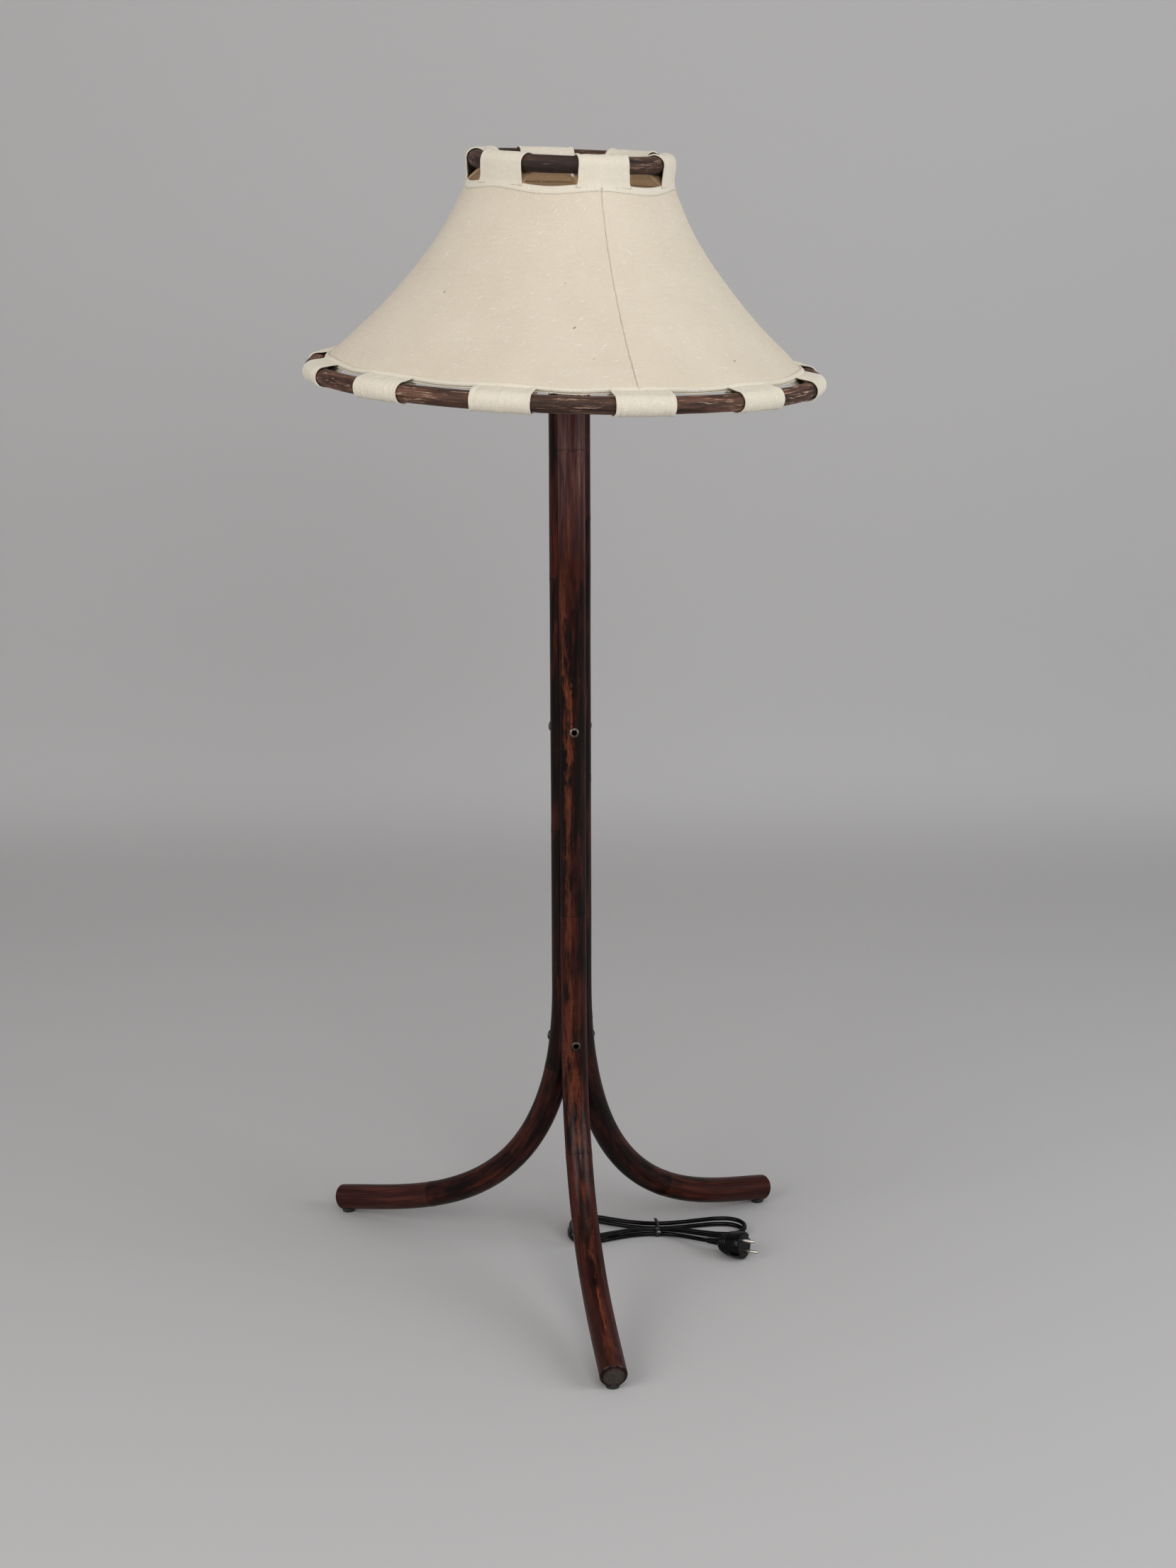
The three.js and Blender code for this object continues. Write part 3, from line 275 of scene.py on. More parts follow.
def add_piece(name, shaped, material, body, replaces=(), sharp=38):
    """Turns a finished bmesh into a piece at the origin that rides on a body."""
    mesh = bpy.data.meshes.new(name)
    shaped.to_mesh(mesh)
    shaped.free()
    mesh.shade_smooth()
    mesh.set_sharp_from_angle(angle=math.radians(sharp))
    mesh.materials.append(material)
    piece = bpy.data.objects.new(name, mesh)
    bpy.context.scene.collection.objects.link(piece)
    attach(piece, body)
    if replaces:
        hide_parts(*replaces)
    return piece


def soften(piece, width, segments=2):
    """Rounds a piece's hard edges by a width in millimetres."""
    bevel = piece.modifiers.new("rounded_edges", "BEVEL")
    bevel.width = width / 1000
    bevel.segments = segments
    bevel.limit_method = "ANGLE"
    bevel.angle_limit = math.radians(35)
    bevel.use_clamp_overlap = True


def walk(line):
    """How far along a line each of its points comes."""
    distances = [0.0]
    for before, after in zip(line, line[1:]):
        distances.append(distances[-1] + (after - before).length)
    return distances


def stand_on(line, distances, at):
    """The point at a distance along a line, and the line's direction there."""
    i = min(max(bisect.bisect(distances, at), 1), len(line) - 1)
    share = (at - distances[i - 1]) / (distances[i] - distances[i - 1])
    return line[i - 1].lerp(line[i], share), (line[i] - line[i - 1]).normalized()


def stations_on(line, radius_at):
    """A line's points as stations of a bar, with the radius for each point's share of the length."""
    distances = walk(line)
    return [(*stand_on(line, distances, at), radius_at(at / distances[-1])) for at in distances]


def extrude(shaped, edges):
    """Extrudes edges where they lie. Returns the new rim's vertices and edges."""
    made = bmesh.ops.extrude_edge_only(shaped, edges=edges)["geom"]
    verts = [item for item in made if isinstance(item, bmesh.types.BMVert)]
    fresh = set(verts)
    rim = [item for item in made if isinstance(item, bmesh.types.BMEdge) and fresh.issuperset(item.verts)]
    return verts, rim


def bar_along(stations, side, sides, shaped=None):
    """A round bar: a circle extruded from station to station, each a point, a direction and a
    radius. side is square to every direction. Returns the mesh, and the vertices ring by ring."""
    shaped = shaped or bmesh.new()
    rings = []
    placed = None
    for point, direction, radius in stations:
        across = direction.cross(side).normalized()
        here = Matrix((side * radius / 1000, across * radius / 1000, direction)).transposed().to_4x4()
        here.translation = from_column(*point)
        if placed is None:
            ring = bmesh.ops.create_circle(shaped, segments=sides, radius=1, matrix=here)["verts"]
            edges = list(dict.fromkeys(edge for vert in ring for edge in vert.link_edges))
        else:
            ring, edges = extrude(shaped, edges)
            bmesh.ops.transform(shaped, matrix=here @ placed.inverted(), verts=ring)
        placed = here
        rings.append(ring)
    for ring in (rings[0], rings[-1]):
        rim = dict.fromkeys(edge for vert in ring for edge in vert.link_edges if edge.is_boundary)
        bmesh.ops.contextual_create(shaped, geom=list(rim))
    bmesh.ops.recalc_face_normals(shaped, faces=shaped.faces)
    return shaped, rings


reach = LEAD_DIAMETER / 2 + TIE_ROOM
low_strand, high_strand = hank_point(HANK_END), hank_point(HANK_TURN - 180)
tie_x = low_strand.x
tie_front, tie_back = low_strand.y - reach, high_strand.y + reach
tie_foot, tie_top = low_strand.z - reach, high_strand.z + reach
tie_shape = bmesh.new()
tie_middle = from_column(tie_x, (tie_front + tie_back) / 2, (tie_foot + tie_top) / 2)
tie_size = Vector((TIE_WIDTH, tie_back - tie_front, tie_top - tie_foot)) / 1000
bmesh.ops.create_cube(
    tie_shape, size=1, matrix=Matrix.Translation(tie_middle) @ Matrix.Diagonal((*tie_size, 1)),
)
ends = [face for face in tie_shape.faces if abs(face.normal.x) > 0.9]
bmesh.ops.delete(tie_shape, geom=ends, context="FACES_ONLY")
corners = [
    edge for edge in tie_shape.edges
    if abs((edge.verts[0].co - edge.verts[1].co).normalized().x) > 0.9
]
bmesh.ops.bevel(
    tie_shape, geom=corners, offset=TIE_CORNER / 1000, affect="EDGES", segments=8, profile=0.5, material=-1,
)
bmesh.ops.recalc_face_normals(tie_shape, faces=tie_shape.faces)
if sum((face.calc_center_median() - tie_middle).dot(face.normal) for face in tie_shape.faces) < 0:
    bmesh.ops.reverse_faces(tie_shape, faces=tie_shape.faces)
bmesh.ops.solidify(tie_shape, geom=tie_shape.faces, thickness=-TIE_THICKNESS / 1000)
tail_foot = Vector((tie_x, (tie_front + tie_back) / 2, tie_top))
for strand in (0, math.pi):
    tail = []
    for step in range(25):
        rise = step / 24
        turn = strand + rise * TAIL_TURNS * 2 * math.pi
        apart = TAIL_CLOSE + TAIL_OPEN * max(rise - TAIL_PARTS_AT, 0) / (1 - TAIL_PARTS_AT)
        tail.append(tail_foot + Vector((
            apart * math.cos(turn) - TAIL_LENGTH / 3 * rise, apart * math.sin(turn), TAIL_LENGTH * rise - 0.3,
        )))
    stations = stations_on(tail, lambda share: TAIL_STRAND / (2 if 0 < share < 1 else 4))
    bar_along(stations, Vector((0, 1, 0)), 10, tie_shape)
# Moulded ribbon: plain black plastic with a satin skin
ribbon = mottled("black_tie_ribbon", 700.0, gloss=(0.25, 0.55), Roughness=0.4, Base_Color=srgb("0b0b0c"))
tie = add_piece("twist_tie", tie_shape, ribbon, "stand", ["cord_tie"])
soften(tie, 0.2)
# Zinc-coated iron wire: bright where the ribbon has split and lets its end curl out
bare_wire = mottled("zinc_coated_tie_wire", 1500.0, ("d9dadb", "aeb0b2"), Metallic=1.0, Roughness=0.3)
curl_middle = Vector((tie_x + 2.2, tie_front - 1.1, tie_foot + 0.55 * (tie_top - tie_foot)))
curl = [
    curl_middle + Vector((
        WIRE_CURL[0] * math.cos(step / 3), -WIRE_CURL_RISE * step, WIRE_CURL[1] * math.sin(step / 3),
    ))
    for step in range(-6, 11)
]
stations = stations_on(curl, lambda share: WIRE_END_RADIUS)
add_piece("tie_wire_end", bar_along(stations, Vector((0, 1, 0)), 10)[0], bare_wire, "stand")

# The plug. One round body of black PVC is moulded on to the lead, with a notch for the socket's
# rib at each side of its rim, finger grooves on its taper and a ribbed sleeve at its tail. Two
# nickel-plated pins stand in its face.
PLUG_HEEL = 19
PLUG_EDGE = 1
SLEEVE_WIDE, SLEEVE_NARROW = 10.5, 7.6
SLEEVE_RIBS = 6
FINGER_GROOVES = 4
NOTCH_WIDTH, NOTCH_DEPTH, NOTCH_FROM = 7, 3.4, 12
PIN_DIAMETER = 4.8
PIN_LENGTH = 19
PIN_SEAT = 4
PIN_SPACING = 19
PIN_TWIST = math.radians(21)


def turn_profile(profile, steps=64):
    """Spins a line of radii and heights, in millimetres, once round the upright axis."""
    shaped = bmesh.new()
    line = [shaped.verts.new((radius / 1000, 0, height / 1000)) for radius, height in profile]
    edges = [shaped.edges.new(pair) for pair in zip(line, line[1:])]
    bmesh.ops.spin(
        shaped, geom=line + edges, cent=(0, 0, 0), axis=(0, 0, 1), angle=2 * math.pi, steps=steps,
        use_merge=True,
    )
    bmesh.ops.remove_doubles(shaped, verts=shaped.verts, dist=1e-6)
    bmesh.ops.recalc_face_normals(shaped, faces=shaped.faces)
    return shaped


def move(shaped, matrix):
    bmesh.ops.transform(shaped, matrix=matrix, verts=shaped.verts)
    return shaped


shoulder = -PLUG_RIM - PLUG_TAPER
rim, heel = PLUG_DIAMETER / 2, PLUG_HEEL / 2
plug_profile = [(0, shoulder - PLUG_RELIEF), (SLEEVE_NARROW / 2, shoulder - PLUG_RELIEF)]
for rib in range(SLEEVE_RIBS):
    foot = shoulder - PLUG_RELIEF * (1 - (rib + 0.15) / SLEEVE_RIBS)
    wide = (SLEEVE_NARROW + (SLEEVE_WIDE - SLEEVE_NARROW) * (rib + 0.5) / SLEEVE_RIBS) / 2
    plug_profile += [(wide, foot), (wide, foot + 1.9), (wide - 0.7, foot + 2.2), (wide - 0.7, foot + 2.9)]
plug_profile += [(SLEEVE_WIDE / 2, shoulder), (heel - 0.8, shoulder), (heel, shoulder + 0.8)]
for groove in range(FINGER_GROOVES):
    at = (groove + 0.6) / (FINGER_GROOVES + 1)
    wide = heel + 1.2 + (rim - 1 - heel) * at ** 0.8
    height = shoulder + PLUG_TAPER * (0.12 + 0.78 * at)
    plug_profile += [(wide, height - 1.2), (wide - 0.5, height - 0.5), (wide - 0.5, height + 0.3)]
    plug_profile += [(wide + 0.4, height + 1.1)]
plug_profile += [(rim - PLUG_EDGE, -PLUG_RIM), (rim - 0.25, -PLUG_RIM + 0.3), (rim, -PLUG_RIM + PLUG_EDGE)]
plug_profile += [(rim, -PLUG_EDGE), (rim - 0.3, -0.3), (rim - PLUG_EDGE, 0), (rim - 5, 0), (0, 0)]
plug_shape = turn_profile(plug_profile, 96)
for vert in plug_shape.verts:
    # the notches: the rim's vertices beside the line between the pins sink to the notch's floor
    beside, out, along = (abs(part) * 1000 for part in vert.co)
    if vert.co.z * 1000 > -PLUG_RIM and beside < NOTCH_WIDTH / 2 and out > NOTCH_FROM:
        vert.co.y = math.copysign(min(abs(vert.co.y), (rim - NOTCH_DEPTH) / 1000), vert.co.y)
plug_place = (
    Matrix.Translation(from_column(*plug_face)) @ Matrix.Rotation(PLUG_TURN, 4, "Z")
    @ Matrix.Rotation(math.pi / 2 - PLUG_TILT, 4, "Y") @ Matrix.Rotation(PIN_TWIST, 4, "Z")
)
plug_body = add_piece(
    "moulded_plug", move(plug_shape, plug_place), pvc, "stand", ["plug_body"],
)
soften(plug_body, 0.25)

# Nickel-plated brass: bright and a little warm, with fine marks along the pins from the socket
nickel = mottled(
    "nickel_plated_pins", 500.0, ("cfcbc2", "b3aca0"), (0.18, 0.42), detail=5.0, Metallic=1.0, Roughness=0.28,
)
for side, node_name in ((-1, "plug_pin_low"), (1, "plug_pin_high")):
    half = PIN_DIAMETER / 2
    pin = turn_profile([
        (0, -PIN_SEAT), (half, -PIN_SEAT), (half, 0), (half, PIN_LENGTH - 1.6),
        (half * 0.88, PIN_LENGTH - 0.7), (half * 0.6, PIN_LENGTH - 0.15), (0, PIN_LENGTH),
    ], 32)
    move(pin, plug_place @ Matrix.Translation((side * PIN_SPACING / 2000, 0, 0)))
    add_piece(node_name.replace("plug", "nickel"), pin, nickel, "stand", [node_name])

# The canes. Three stems of peeled rattan, stained nearly black and varnished, are planed flat on
# two sides where they meet, run up side by side as the column, and are steam-bent out below as
# legs. Their bark rings stand a little proud, and the stain has worn to orange along their fronts.
CANE_DIAMETER = 35.2
CANE_SPREAD = 10.2
COLUMN_TOP = 1255
BEND_TOP = 402
BEND_HANDLE_DOWN = 347
BEND_HANDLE_OUT = 118
FOOT_SLOPE = math.radians(13.6)
FOOT_EDGE_LIFT = 1.5
FOOT_CHAMFER = 3
CANE_SIDES = 36
CANE_UNEVEN = 0.22
PLANED_GAP = 0.15
STATION_STEP = 6
CANES = [
    # name, turn, swing, reach, and where its rings come as shares of its length from the foot
    ("front", -82, 0, 368, (0.252, 0.48, 0.7, 0.903)),
    ("right", 38, 0, 347, (0.14, 0.37, 0.6, 0.84)),
    ("left", 158, -7.2, 380, (0.11, 0.33, 0.56, 0.79)),
]
# How a bark ring swells the cane: distance from its middle, and how far it stands proud there
RING_PROFILE = [
    (-9, 0), (-5.5, 0.08), (-3, 0.24), (-1.5, 0.3), (-0.5, 0.18), (0.4, 0.05), (1.2, 0.16), (3, 0.18),
    (5.5, 0.08), (9, 0),
]
RING_ROOM = 10
STREAK_STRETCH = 0.05
# How light the stain has gone between one ring and the next, from the foot up. A tone above 0.85
# is a painted sheen: the front cane's 1.5 above its top ring
STAIN_AND_SHEEN_TONES = {
    "front": (0.75, 0.45, 0.1, 0.2, 1.5), "right": (0.7, 0.3, 0.1, 0.15, 0.5),
    "left": (0.95, 0.4, 0.1, 0.15, 0.5),
}
# The front cane is painted a lighter mauve-grey towards its top, a painted sheen of its varnish:
# from what height on, and where it is fully so
SHEEN_FROM, SHEEN_FULLY, SHEEN_TONE = 880, 1090, 1.5
# The streak where the stain is rubbed off: at heights from the floor up, how bare the wood is,
# how far the streak lies to the side of the cane's middle, and its half width
RUBBED = {
    "front": [
        (0, 0.3, 0, 7), (26, 0.4, 0, 6), (34, 1, 0, 2.2), (60, 1, 0, 2.5), (75, 0.5, -2, 5), (90, 0.7, -3, 5),
        (130, 0.4, -1, 8), (190, 0.5, -1, 9), (265, 0.6, -6, 9), (325, 0.6, -8, 6), (383, 0.6, -6, 3.5),
        (442, 0.5, -8, 3.2), (501, 0.6, -7.5, 3.4), (559, 0.5, -8.6, 2.8), (616, 0.6, -9, 3.2),
        (673, 0.75, -6.3, 4.6), (730, 0.8, -6, 4.8), (786, 0.8, -7.5, 4.2), (842, 1, -10, 3.8),
        (897, 0.7, -13, 3.2), (953, 0.35, -15, 5), (1000, 0.25, -10, 6), (1060, 0.2, 2, 8), (1260, 0.2, 2, 9),
    ],
    "right": [(0, 0.2, 0, 3), (1260, 0.2, 0, 3)],
    "left": [(0, 0.25, 0, 3), (1260, 0.2, 0, 3)],
}
DOME = {-0.9: 6, -0.7: 9.5, -0.35: 12.6}  # the sanded foot: how far out, and the radius there


def attribute(tree, name):
    return add_node(tree, "ShaderNodeAttribute", attribute_name=name).outputs["Fac"]


def along_grain(tree):
    """A place across and along a straightened cane, and its place once more where it wraps round."""
    straight = add_node(tree, "ShaderNodeAttribute", attribute_name="straight")
    return straight.outputs["Vector"], attribute(tree, "wrap")


def worked(tree, operation, *values):
    return add_node(tree, "ShaderNodeMath", dict(enumerate(values)), operation=operation).outputs[0]


def shaded(tree, colour, share):
    """A colour made lighter or darker by a share."""
    return add_node(tree, "ShaderNodeVectorMath", {0: colour, 1: share}, operation="MULTIPLY").outputs[0]


def close_holes(shaped):
    open_edges = [edge for edge in shaped.edges if edge.is_boundary]
    bmesh.ops.contextual_create(shaped, geom=open_edges)


def polar(radius, turn, height=0):
    """A point at a radius and a turn round the column's axis."""
    return Vector((radius * math.cos(turn), radius * math.sin(turn), height))


def square_to(turn):
    """The level direction a quarter turn on from a turn."""
    return Vector((-math.sin(turn), math.cos(turn), 0))


def cane_line(turn, swing, reach):
    """The middle line of a cane from its foot up to the column's top."""
    foot = FOOT_EDGE_LIFT + CANE_DIAMETER / 2 * math.cos(FOOT_SLOPE)
    out = reach - CANE_SPREAD
    handle = Vector((
        out - BEND_HANDLE_OUT * math.cos(FOOT_SLOPE), 0, foot + BEND_HANDLE_OUT * math.sin(FOOT_SLOPE),
    ))
    bend = interpolate_bezier(
        Vector((out, 0, foot)), handle, Vector((0, 0, BEND_TOP - BEND_HANDLE_DOWN)),
        Vector((0, 0, BEND_TOP)), 500,
    )
    bend += [Vector((0, 0, BEND_TOP + step)) for step in range(2, COLUMN_TOP - BEND_TOP + 4, 2)]
    start = polar(CANE_SPREAD, turn)
    heading = Matrix.Rotation(turn + swing, 3, "Z")
    return [start + heading @ point for point in bend]


# Rattan under dark stain and varnish: nearly black, with faint brown streaks and reddish blotches
# where the stain took less, worn orange in a ragged line along its front, under a soft gloss. Towards
# the front cane's top it is painted mauve-grey, a painted sheen of the varnish. Its fibres, 0.3 mm
# apart, are drawn 0.9 mm apart so that they show.
stained_cane, tree, surface = start_material(
    "stained_varnished_rattan", Coat_Weight=0.2, Coat_Roughness=0.2, Specular_IOR_Level=0.03,
)
grain_place, grain_wrap = along_grain(tree)
stretch = add_node(tree, "ShaderNodeMapping", {"Vector": grain_place, "Scale": (1.0, 1.0, 4.0)})
less_stretched = stretch.outputs["Vector"]
broad = speckle(tree, grain_place, 190.0, grain_wrap, Detail=5.0, Roughness=0.62)
fibre = speckle(tree, grain_place, 1100.0, grain_wrap, Detail=3.0, Roughness=0.6)
patch = speckle(tree, less_stretched, 260.0, grain_wrap, Detail=7.0, Roughness=0.68)
blotch = speckle(tree, less_stretched, 75.0, grain_wrap, Detail=4.0, Roughness=0.6)
bands = ranged(tree, broad, old=(0.42, 0.68), interpolation_type="SMOOTHSTEP")
streaked = mixed(tree, bands, "0a0403", "200d08")
reddish = mixed(tree, bands, "2b100b", "471e13")
# the mauve-grey is a painted sheen of the varnish, laid on where the tone goes above 0.85
sheen_mauve = mixed(tree, bands, "40282a", "77554f")
internode = attribute(tree, "stain_and_sheen_tone")
blotched = worked(tree, "ADD", blotch, worked(tree, "MULTIPLY", internode, 0.3))
blotches = ranged(tree, blotched, old=(0.52, 0.72), interpolation_type="SMOOTHSTEP")
painted_sheen = ranged(tree, internode, old=(0.85, 1.5), new=(0, 0.85))
stain = mixed(tree, painted_sheen, mixed(tree, blotches, streaked, reddish), sheen_mauve)
offsets = add_node(tree, "ShaderNodeSeparateXYZ", {"Vector": grain_place})
wander = ranged(tree, broad, new=(-0.006, 0.006))
ragged = ranged(tree, patch, new=(-0.011, 0.011))
from_streak = worked(tree, "ABSOLUTE", worked(tree, "ADD", attribute(tree, "from_streak"), wander))
rubbed = ranged(tree, worked(tree, "ADD", from_streak, ragged), old=(0.0032, 0.0026))
outer = ranged(tree, offsets.outputs["Y"], old=(0.003, 0.008))
wear_side = worked(tree, "MULTIPLY", rubbed, outer)
wear_broken = worked(tree, "MULTIPLY", wear_side, ranged(tree, blotch, old=(0.4, 0.52)))
wear = worked(tree, "MULTIPLY", wear_broken, attribute(tree, "rubbed"))
worn_tone = mixed(tree, ranged(tree, patch, old=(0.36, 0.62)), "4a1e12", "7c4127")
chip_share = worked(tree, "MULTIPLY", ranged(tree, patch, old=(0.63, 0.67)), wear_side)
chipped = mixed(tree, chip_share, mixed(tree, wear, stain, worn_tone), "a4663e")
ringed = mixed(tree, attribute(tree, "bark_ring"), chipped, "120706")
sanded = mixed(tree, patch, "1a1614", "56514c")
ended = mixed(tree, attribute(tree, "end_grain"), ringed, sanded)
fine = ranged(tree, fibre, new=(0.7, 1.3))
grooved = bumped(tree, fibre, 0.3, 0.0004)
dress(
    tree, surface, Base_Color=shaded(tree, ended, fine), Roughness=ranged(tree, patch, new=(0.3, 0.58)),
    Normal=bumped(tree, patch, 0.3, 0.001, Normal=grooved), Coat_Normal=grooved,
)

cane_lines = {}
for name, turn_degrees, swing_degrees, cane_reach, ring_shares in CANES:
    turn, swing = math.radians(turn_degrees), math.radians(swing_degrees)
    line = cane_line(turn, swing, cane_reach)
    distances = walk(line)
    length = distances[-1]
    cane_lines[name] = (turn, line)
    ring_places = [share * length for share in ring_shares]
    marks = [*DOME, 0.0, 0.6, 1.5, FOOT_CHAMFER, length]
    marks += [STATION_STEP * (1 + step) for step in range(int(length / STATION_STEP) - 2)]
    swell_at = {at: 0 for at in marks if all(abs(at - ring) > RING_ROOM for ring in ring_places)}
    for ring in ring_places:
        swell_at.update({ring + aside: proud for aside, proud in RING_PROFILE})
    marks = sorted(swell_at)
    stations = []
    for at in marks:
        point, direction = stand_on(line, distances, at)
        chamfer = FOOT_CHAMFER * max(1 - at / FOOT_CHAMFER, 0) ** 1.6
        uneven = CANE_UNEVEN * noise.noise(Vector((turn, 0, at / 90)))
        radius = DOME.get(at, CANE_DIAMETER / 2 + swell_at[at] - chamfer + uneven)
        stations.append((point, direction, radius))
    sideways = square_to(turn + swing)
    shaped = bmesh.new()
    straight_layer = shaped.verts.layers.float_vector.new("straight")
    wrap_layer, ring_layer, tone_layer, end_layer, rub_layer, streak_layer = [
        shaped.verts.layers.float.new(key)
        for key in ("wrap", "bark_ring", "stain_and_sheen_tone", "end_grain", "rubbed", "from_streak")
    ]
    shaped, rings = bar_along(stations, -sideways, CANE_SIDES, shaped)
    for ring, at, (point, direction, radius) in zip(rings, marks, stations):
        across = direction.cross(-sideways).normalized()
        middle = from_column(*point)
        nearest = min(abs(at - place_of) for place_of in ring_places)
        tone = STAIN_AND_SHEEN_TONES[name][sum(at > place_of for place_of in ring_places)]
        # above a height the front cane's tone rises into the painted sheen
        if name == "front" and point.z > SHEEN_FROM:
            sheen_by = min((point.z - SHEEN_FROM) / (SHEEN_FULLY - SHEEN_FROM), 1)
            tone = max(tone, SHEEN_TONE * sheen_by ** 0.7)
        low, high = next(pair for pair in zip(RUBBED[name], RUBBED[name][1:]) if point.z <= pair[1][0])
        share = (point.z - low[0]) / (high[0] - low[0])
        bareness, aside, half_width = Vector(low[1:]).lerp(Vector(high[1:]), share)
        for vert in ring:
            offset = vert.co - middle
            beside = offset.dot(sideways)
            vert[straight_layer] = Vector((
                beside, offset.dot(across), turn + at / 1000 * STREAK_STRETCH,
            ))
            vert[ring_layer] = max(0.4 - abs(nearest - 0.4) / 3, 0) + (0.9 if 0 <= at < 2.5 else 0)
            vert[rub_layer] = bareness
            vert[streak_layer] = (beside - aside / 1000) * 3 / half_width
            vert[tone_layer] = tone
            vert[end_layer] = 0.85 if at < -0.5 else 0.5 if at < 0 else 0
    bmesh.ops.recalc_face_normals(shaped, faces=shaped.faces)
    for way in (-1, 1):
        # the planed side: a cut through the column's axis, a sixth of a turn to either side
        away_from = square_to(turn + way * math.pi / 3) * way
        bmesh.ops.bisect_plane(
            shaped, geom=shaped.verts[:] + shaped.edges[:] + shaped.faces[:], dist=1e-6,
            plane_co=from_column(0, 0, 0) - away_from * (PLANED_GAP / 1000), plane_no=away_from,
            clear_outer=True,
        )
        close_holes(shaped)
    add_piece(
        "cane_" + name + "_stained", shaped, stained_cane, "stand", ["cane_" + name], 30,
    )

# The bolts. Six socket-head bolts of nickel-plated steel clamp the canes to the core tube, one
# through each cane at two heights. Their plating has dulled and the lower heads are painted darker;
# their sockets are painted near black and their rims darker, a painted shade in the recess.
BOLT_HEIGHTS = {"upper": 755, "lower": 328}
# how much darker each level's heads are painted
BOLT_DARKENING = {"upper": 0.1, "lower": 0.6}
HEAD_DIAMETER = 13
HEAD_HEIGHT = 3.4
HEAD_SUNK = 1.2
SOCKET_WIDTH = 6.2
SOCKET_DEPTH = 1.9
SOCKET_RIM = 3


def facing_out(radius, turn, height):
    """Where a shape turned round its upright axis lies with that axis straight out of the column."""
    place_of = Matrix.Translation(from_column(*polar(radius, turn, height)))
    return place_of @ Matrix.Rotation(turn, 4, "Z") @ Matrix.Rotation(math.pi / 2, 4, "Y")


worn_nickel, tree, surface = start_material("worn_nickel_plate", Metallic=1.0, Roughness=0.4)
place = in_piece(tree)
spots = speckle(tree, place, 420.0, Detail=6.0, Roughness=0.7)
metal = mixed(tree, ranged(tree, spots, old=(0.42, 0.62)), "7d756a", "352d27")
# painted darker by level and at the socket's rim, and the socket near black: painted shade in the recess
darkened_metal = mixed(tree, attribute(tree, "socket_shade_and_darkening"), metal, "2e2622")
painted_socket_shade = ranged(tree, attribute(tree, "socket"), old=(0.05, 0.5))
dress(
    tree, surface, Base_Color=mixed(tree, painted_socket_shade, darkened_metal, "070504"),
    Roughness=ranged(tree, spots, new=(0.3, 0.65)),
)
for level, height in BOLT_HEIGHTS.items():
    for name, (turn, line) in cane_lines.items():
        below = [point for point in line if point.z <= height][-1]
        seat = below.xy.length + CANE_DIAMETER / 2 - HEAD_SUNK
        radius = HEAD_DIAMETER / 2
        head = turn_profile([
            (SOCKET_RIM, HEAD_HEIGHT), (4.4, HEAD_HEIGHT - 0.05), (5.6, HEAD_HEIGHT - 0.45),
            (6.3, HEAD_HEIGHT - 1.1), (radius, HEAD_HEIGHT - 1.6), (radius, -0.6), (radius - 1, -0.6),
        ], 36)
        socket_layer = head.verts.layers.float.new("socket")
        head_darkening_layer = head.verts.layers.float.new("socket_shade_and_darkening")
        socket_rim = [vert for vert in head.verts if abs(vert.co.xy.length * 1000 - SOCKET_RIM) < 0.01]
        for vert in socket_rim:
            angle = math.atan2(vert.co.y, vert.co.x)
            within = (angle + math.pi / 6) % (math.pi / 3) - math.pi / 6
            vert.co.xy = vert.co.xy.normalized() * SOCKET_WIDTH / 2000 / math.cos(within)
        for vert in head.verts:
            # the socket's rim is painted darker still, a painted shade at the recess's edge
            vert[head_darkening_layer] = BOLT_DARKENING[level] + 0.3 * (vert in socket_rim)
        mouth = [edge for edge in head.edges if edge.is_boundary and edge.verts[0] in socket_rim]
        floor_verts, floor_edges = extrude(head, mouth)
        for vert in floor_verts:
            vert[socket_layer] = 1
        bmesh.ops.translate(head, vec=(0, 0, -SOCKET_DEPTH / 1000), verts=floor_verts)
        bmesh.ops.contextual_create(head, geom=floor_edges)
        close_holes(head)
        bmesh.ops.recalc_face_normals(head, faces=head.faces)
        bolt = add_piece(
            "bolt_head_" + level + "_" + name, move(head, facing_out(seat, turn, height)), worn_nickel,
            "stand", ["bolt_" + level + "_" + name],
        )
        soften(bolt, 0.2)

# The core and the feet. A drawn steel tube inside the column takes the bolts and guides the lead,
# a black rubber sleeve at its end saves the lead from the edge, and a rubber glide is pressed
# under each leg's end.
CORE_DIAMETER, CORE_BORE = 16, 10.6
CORE_FOOT = 296
GLIDE_DIAMETER = 18
steel, tree, surface = start_material("drawn_steel", Metallic=1.0, Roughness=0.38)
place = in_piece(tree)
drawn = add_node(tree, "ShaderNodeMapping", {"Vector": place, "Scale": (900.0, 900.0, 25.0)})
lines = speckle(tree, drawn.outputs["Vector"], 1.0, Detail=4.0)
dress(
    tree, surface, Base_Color=mixed(tree, lines, "6f6d6a", "a3a19c"),
    Roughness=ranged(tree, lines, new=(0.3, 0.5)),
)
upright = Matrix.Translation(from_column(0, 0, 0))


def turn_piece(name, profile, steps, material, node_name, body="stand", rounded=0, flutes=None):
    """Spins a profile round the column's axis into a piece, with flutes and rounded edges if asked."""
    shaped = turn_profile(profile, steps)
    if flutes:
        flute(shaped, *flutes)
    piece = add_piece(name, move(shaped, upright), material, body, [node_name])
    if rounded:
        soften(piece, rounded)


turn_piece("core_tube_drawn", [
    (CORE_BORE / 2, CORE_FOOT), (CORE_DIAMETER / 2, CORE_FOOT), (CORE_DIAMETER / 2, COLUMN_TOP),
    (CORE_BORE / 2, COLUMN_TOP), (CORE_BORE / 2, CORE_FOOT),
], 40, steel, "core_tube", rounded=0.4)

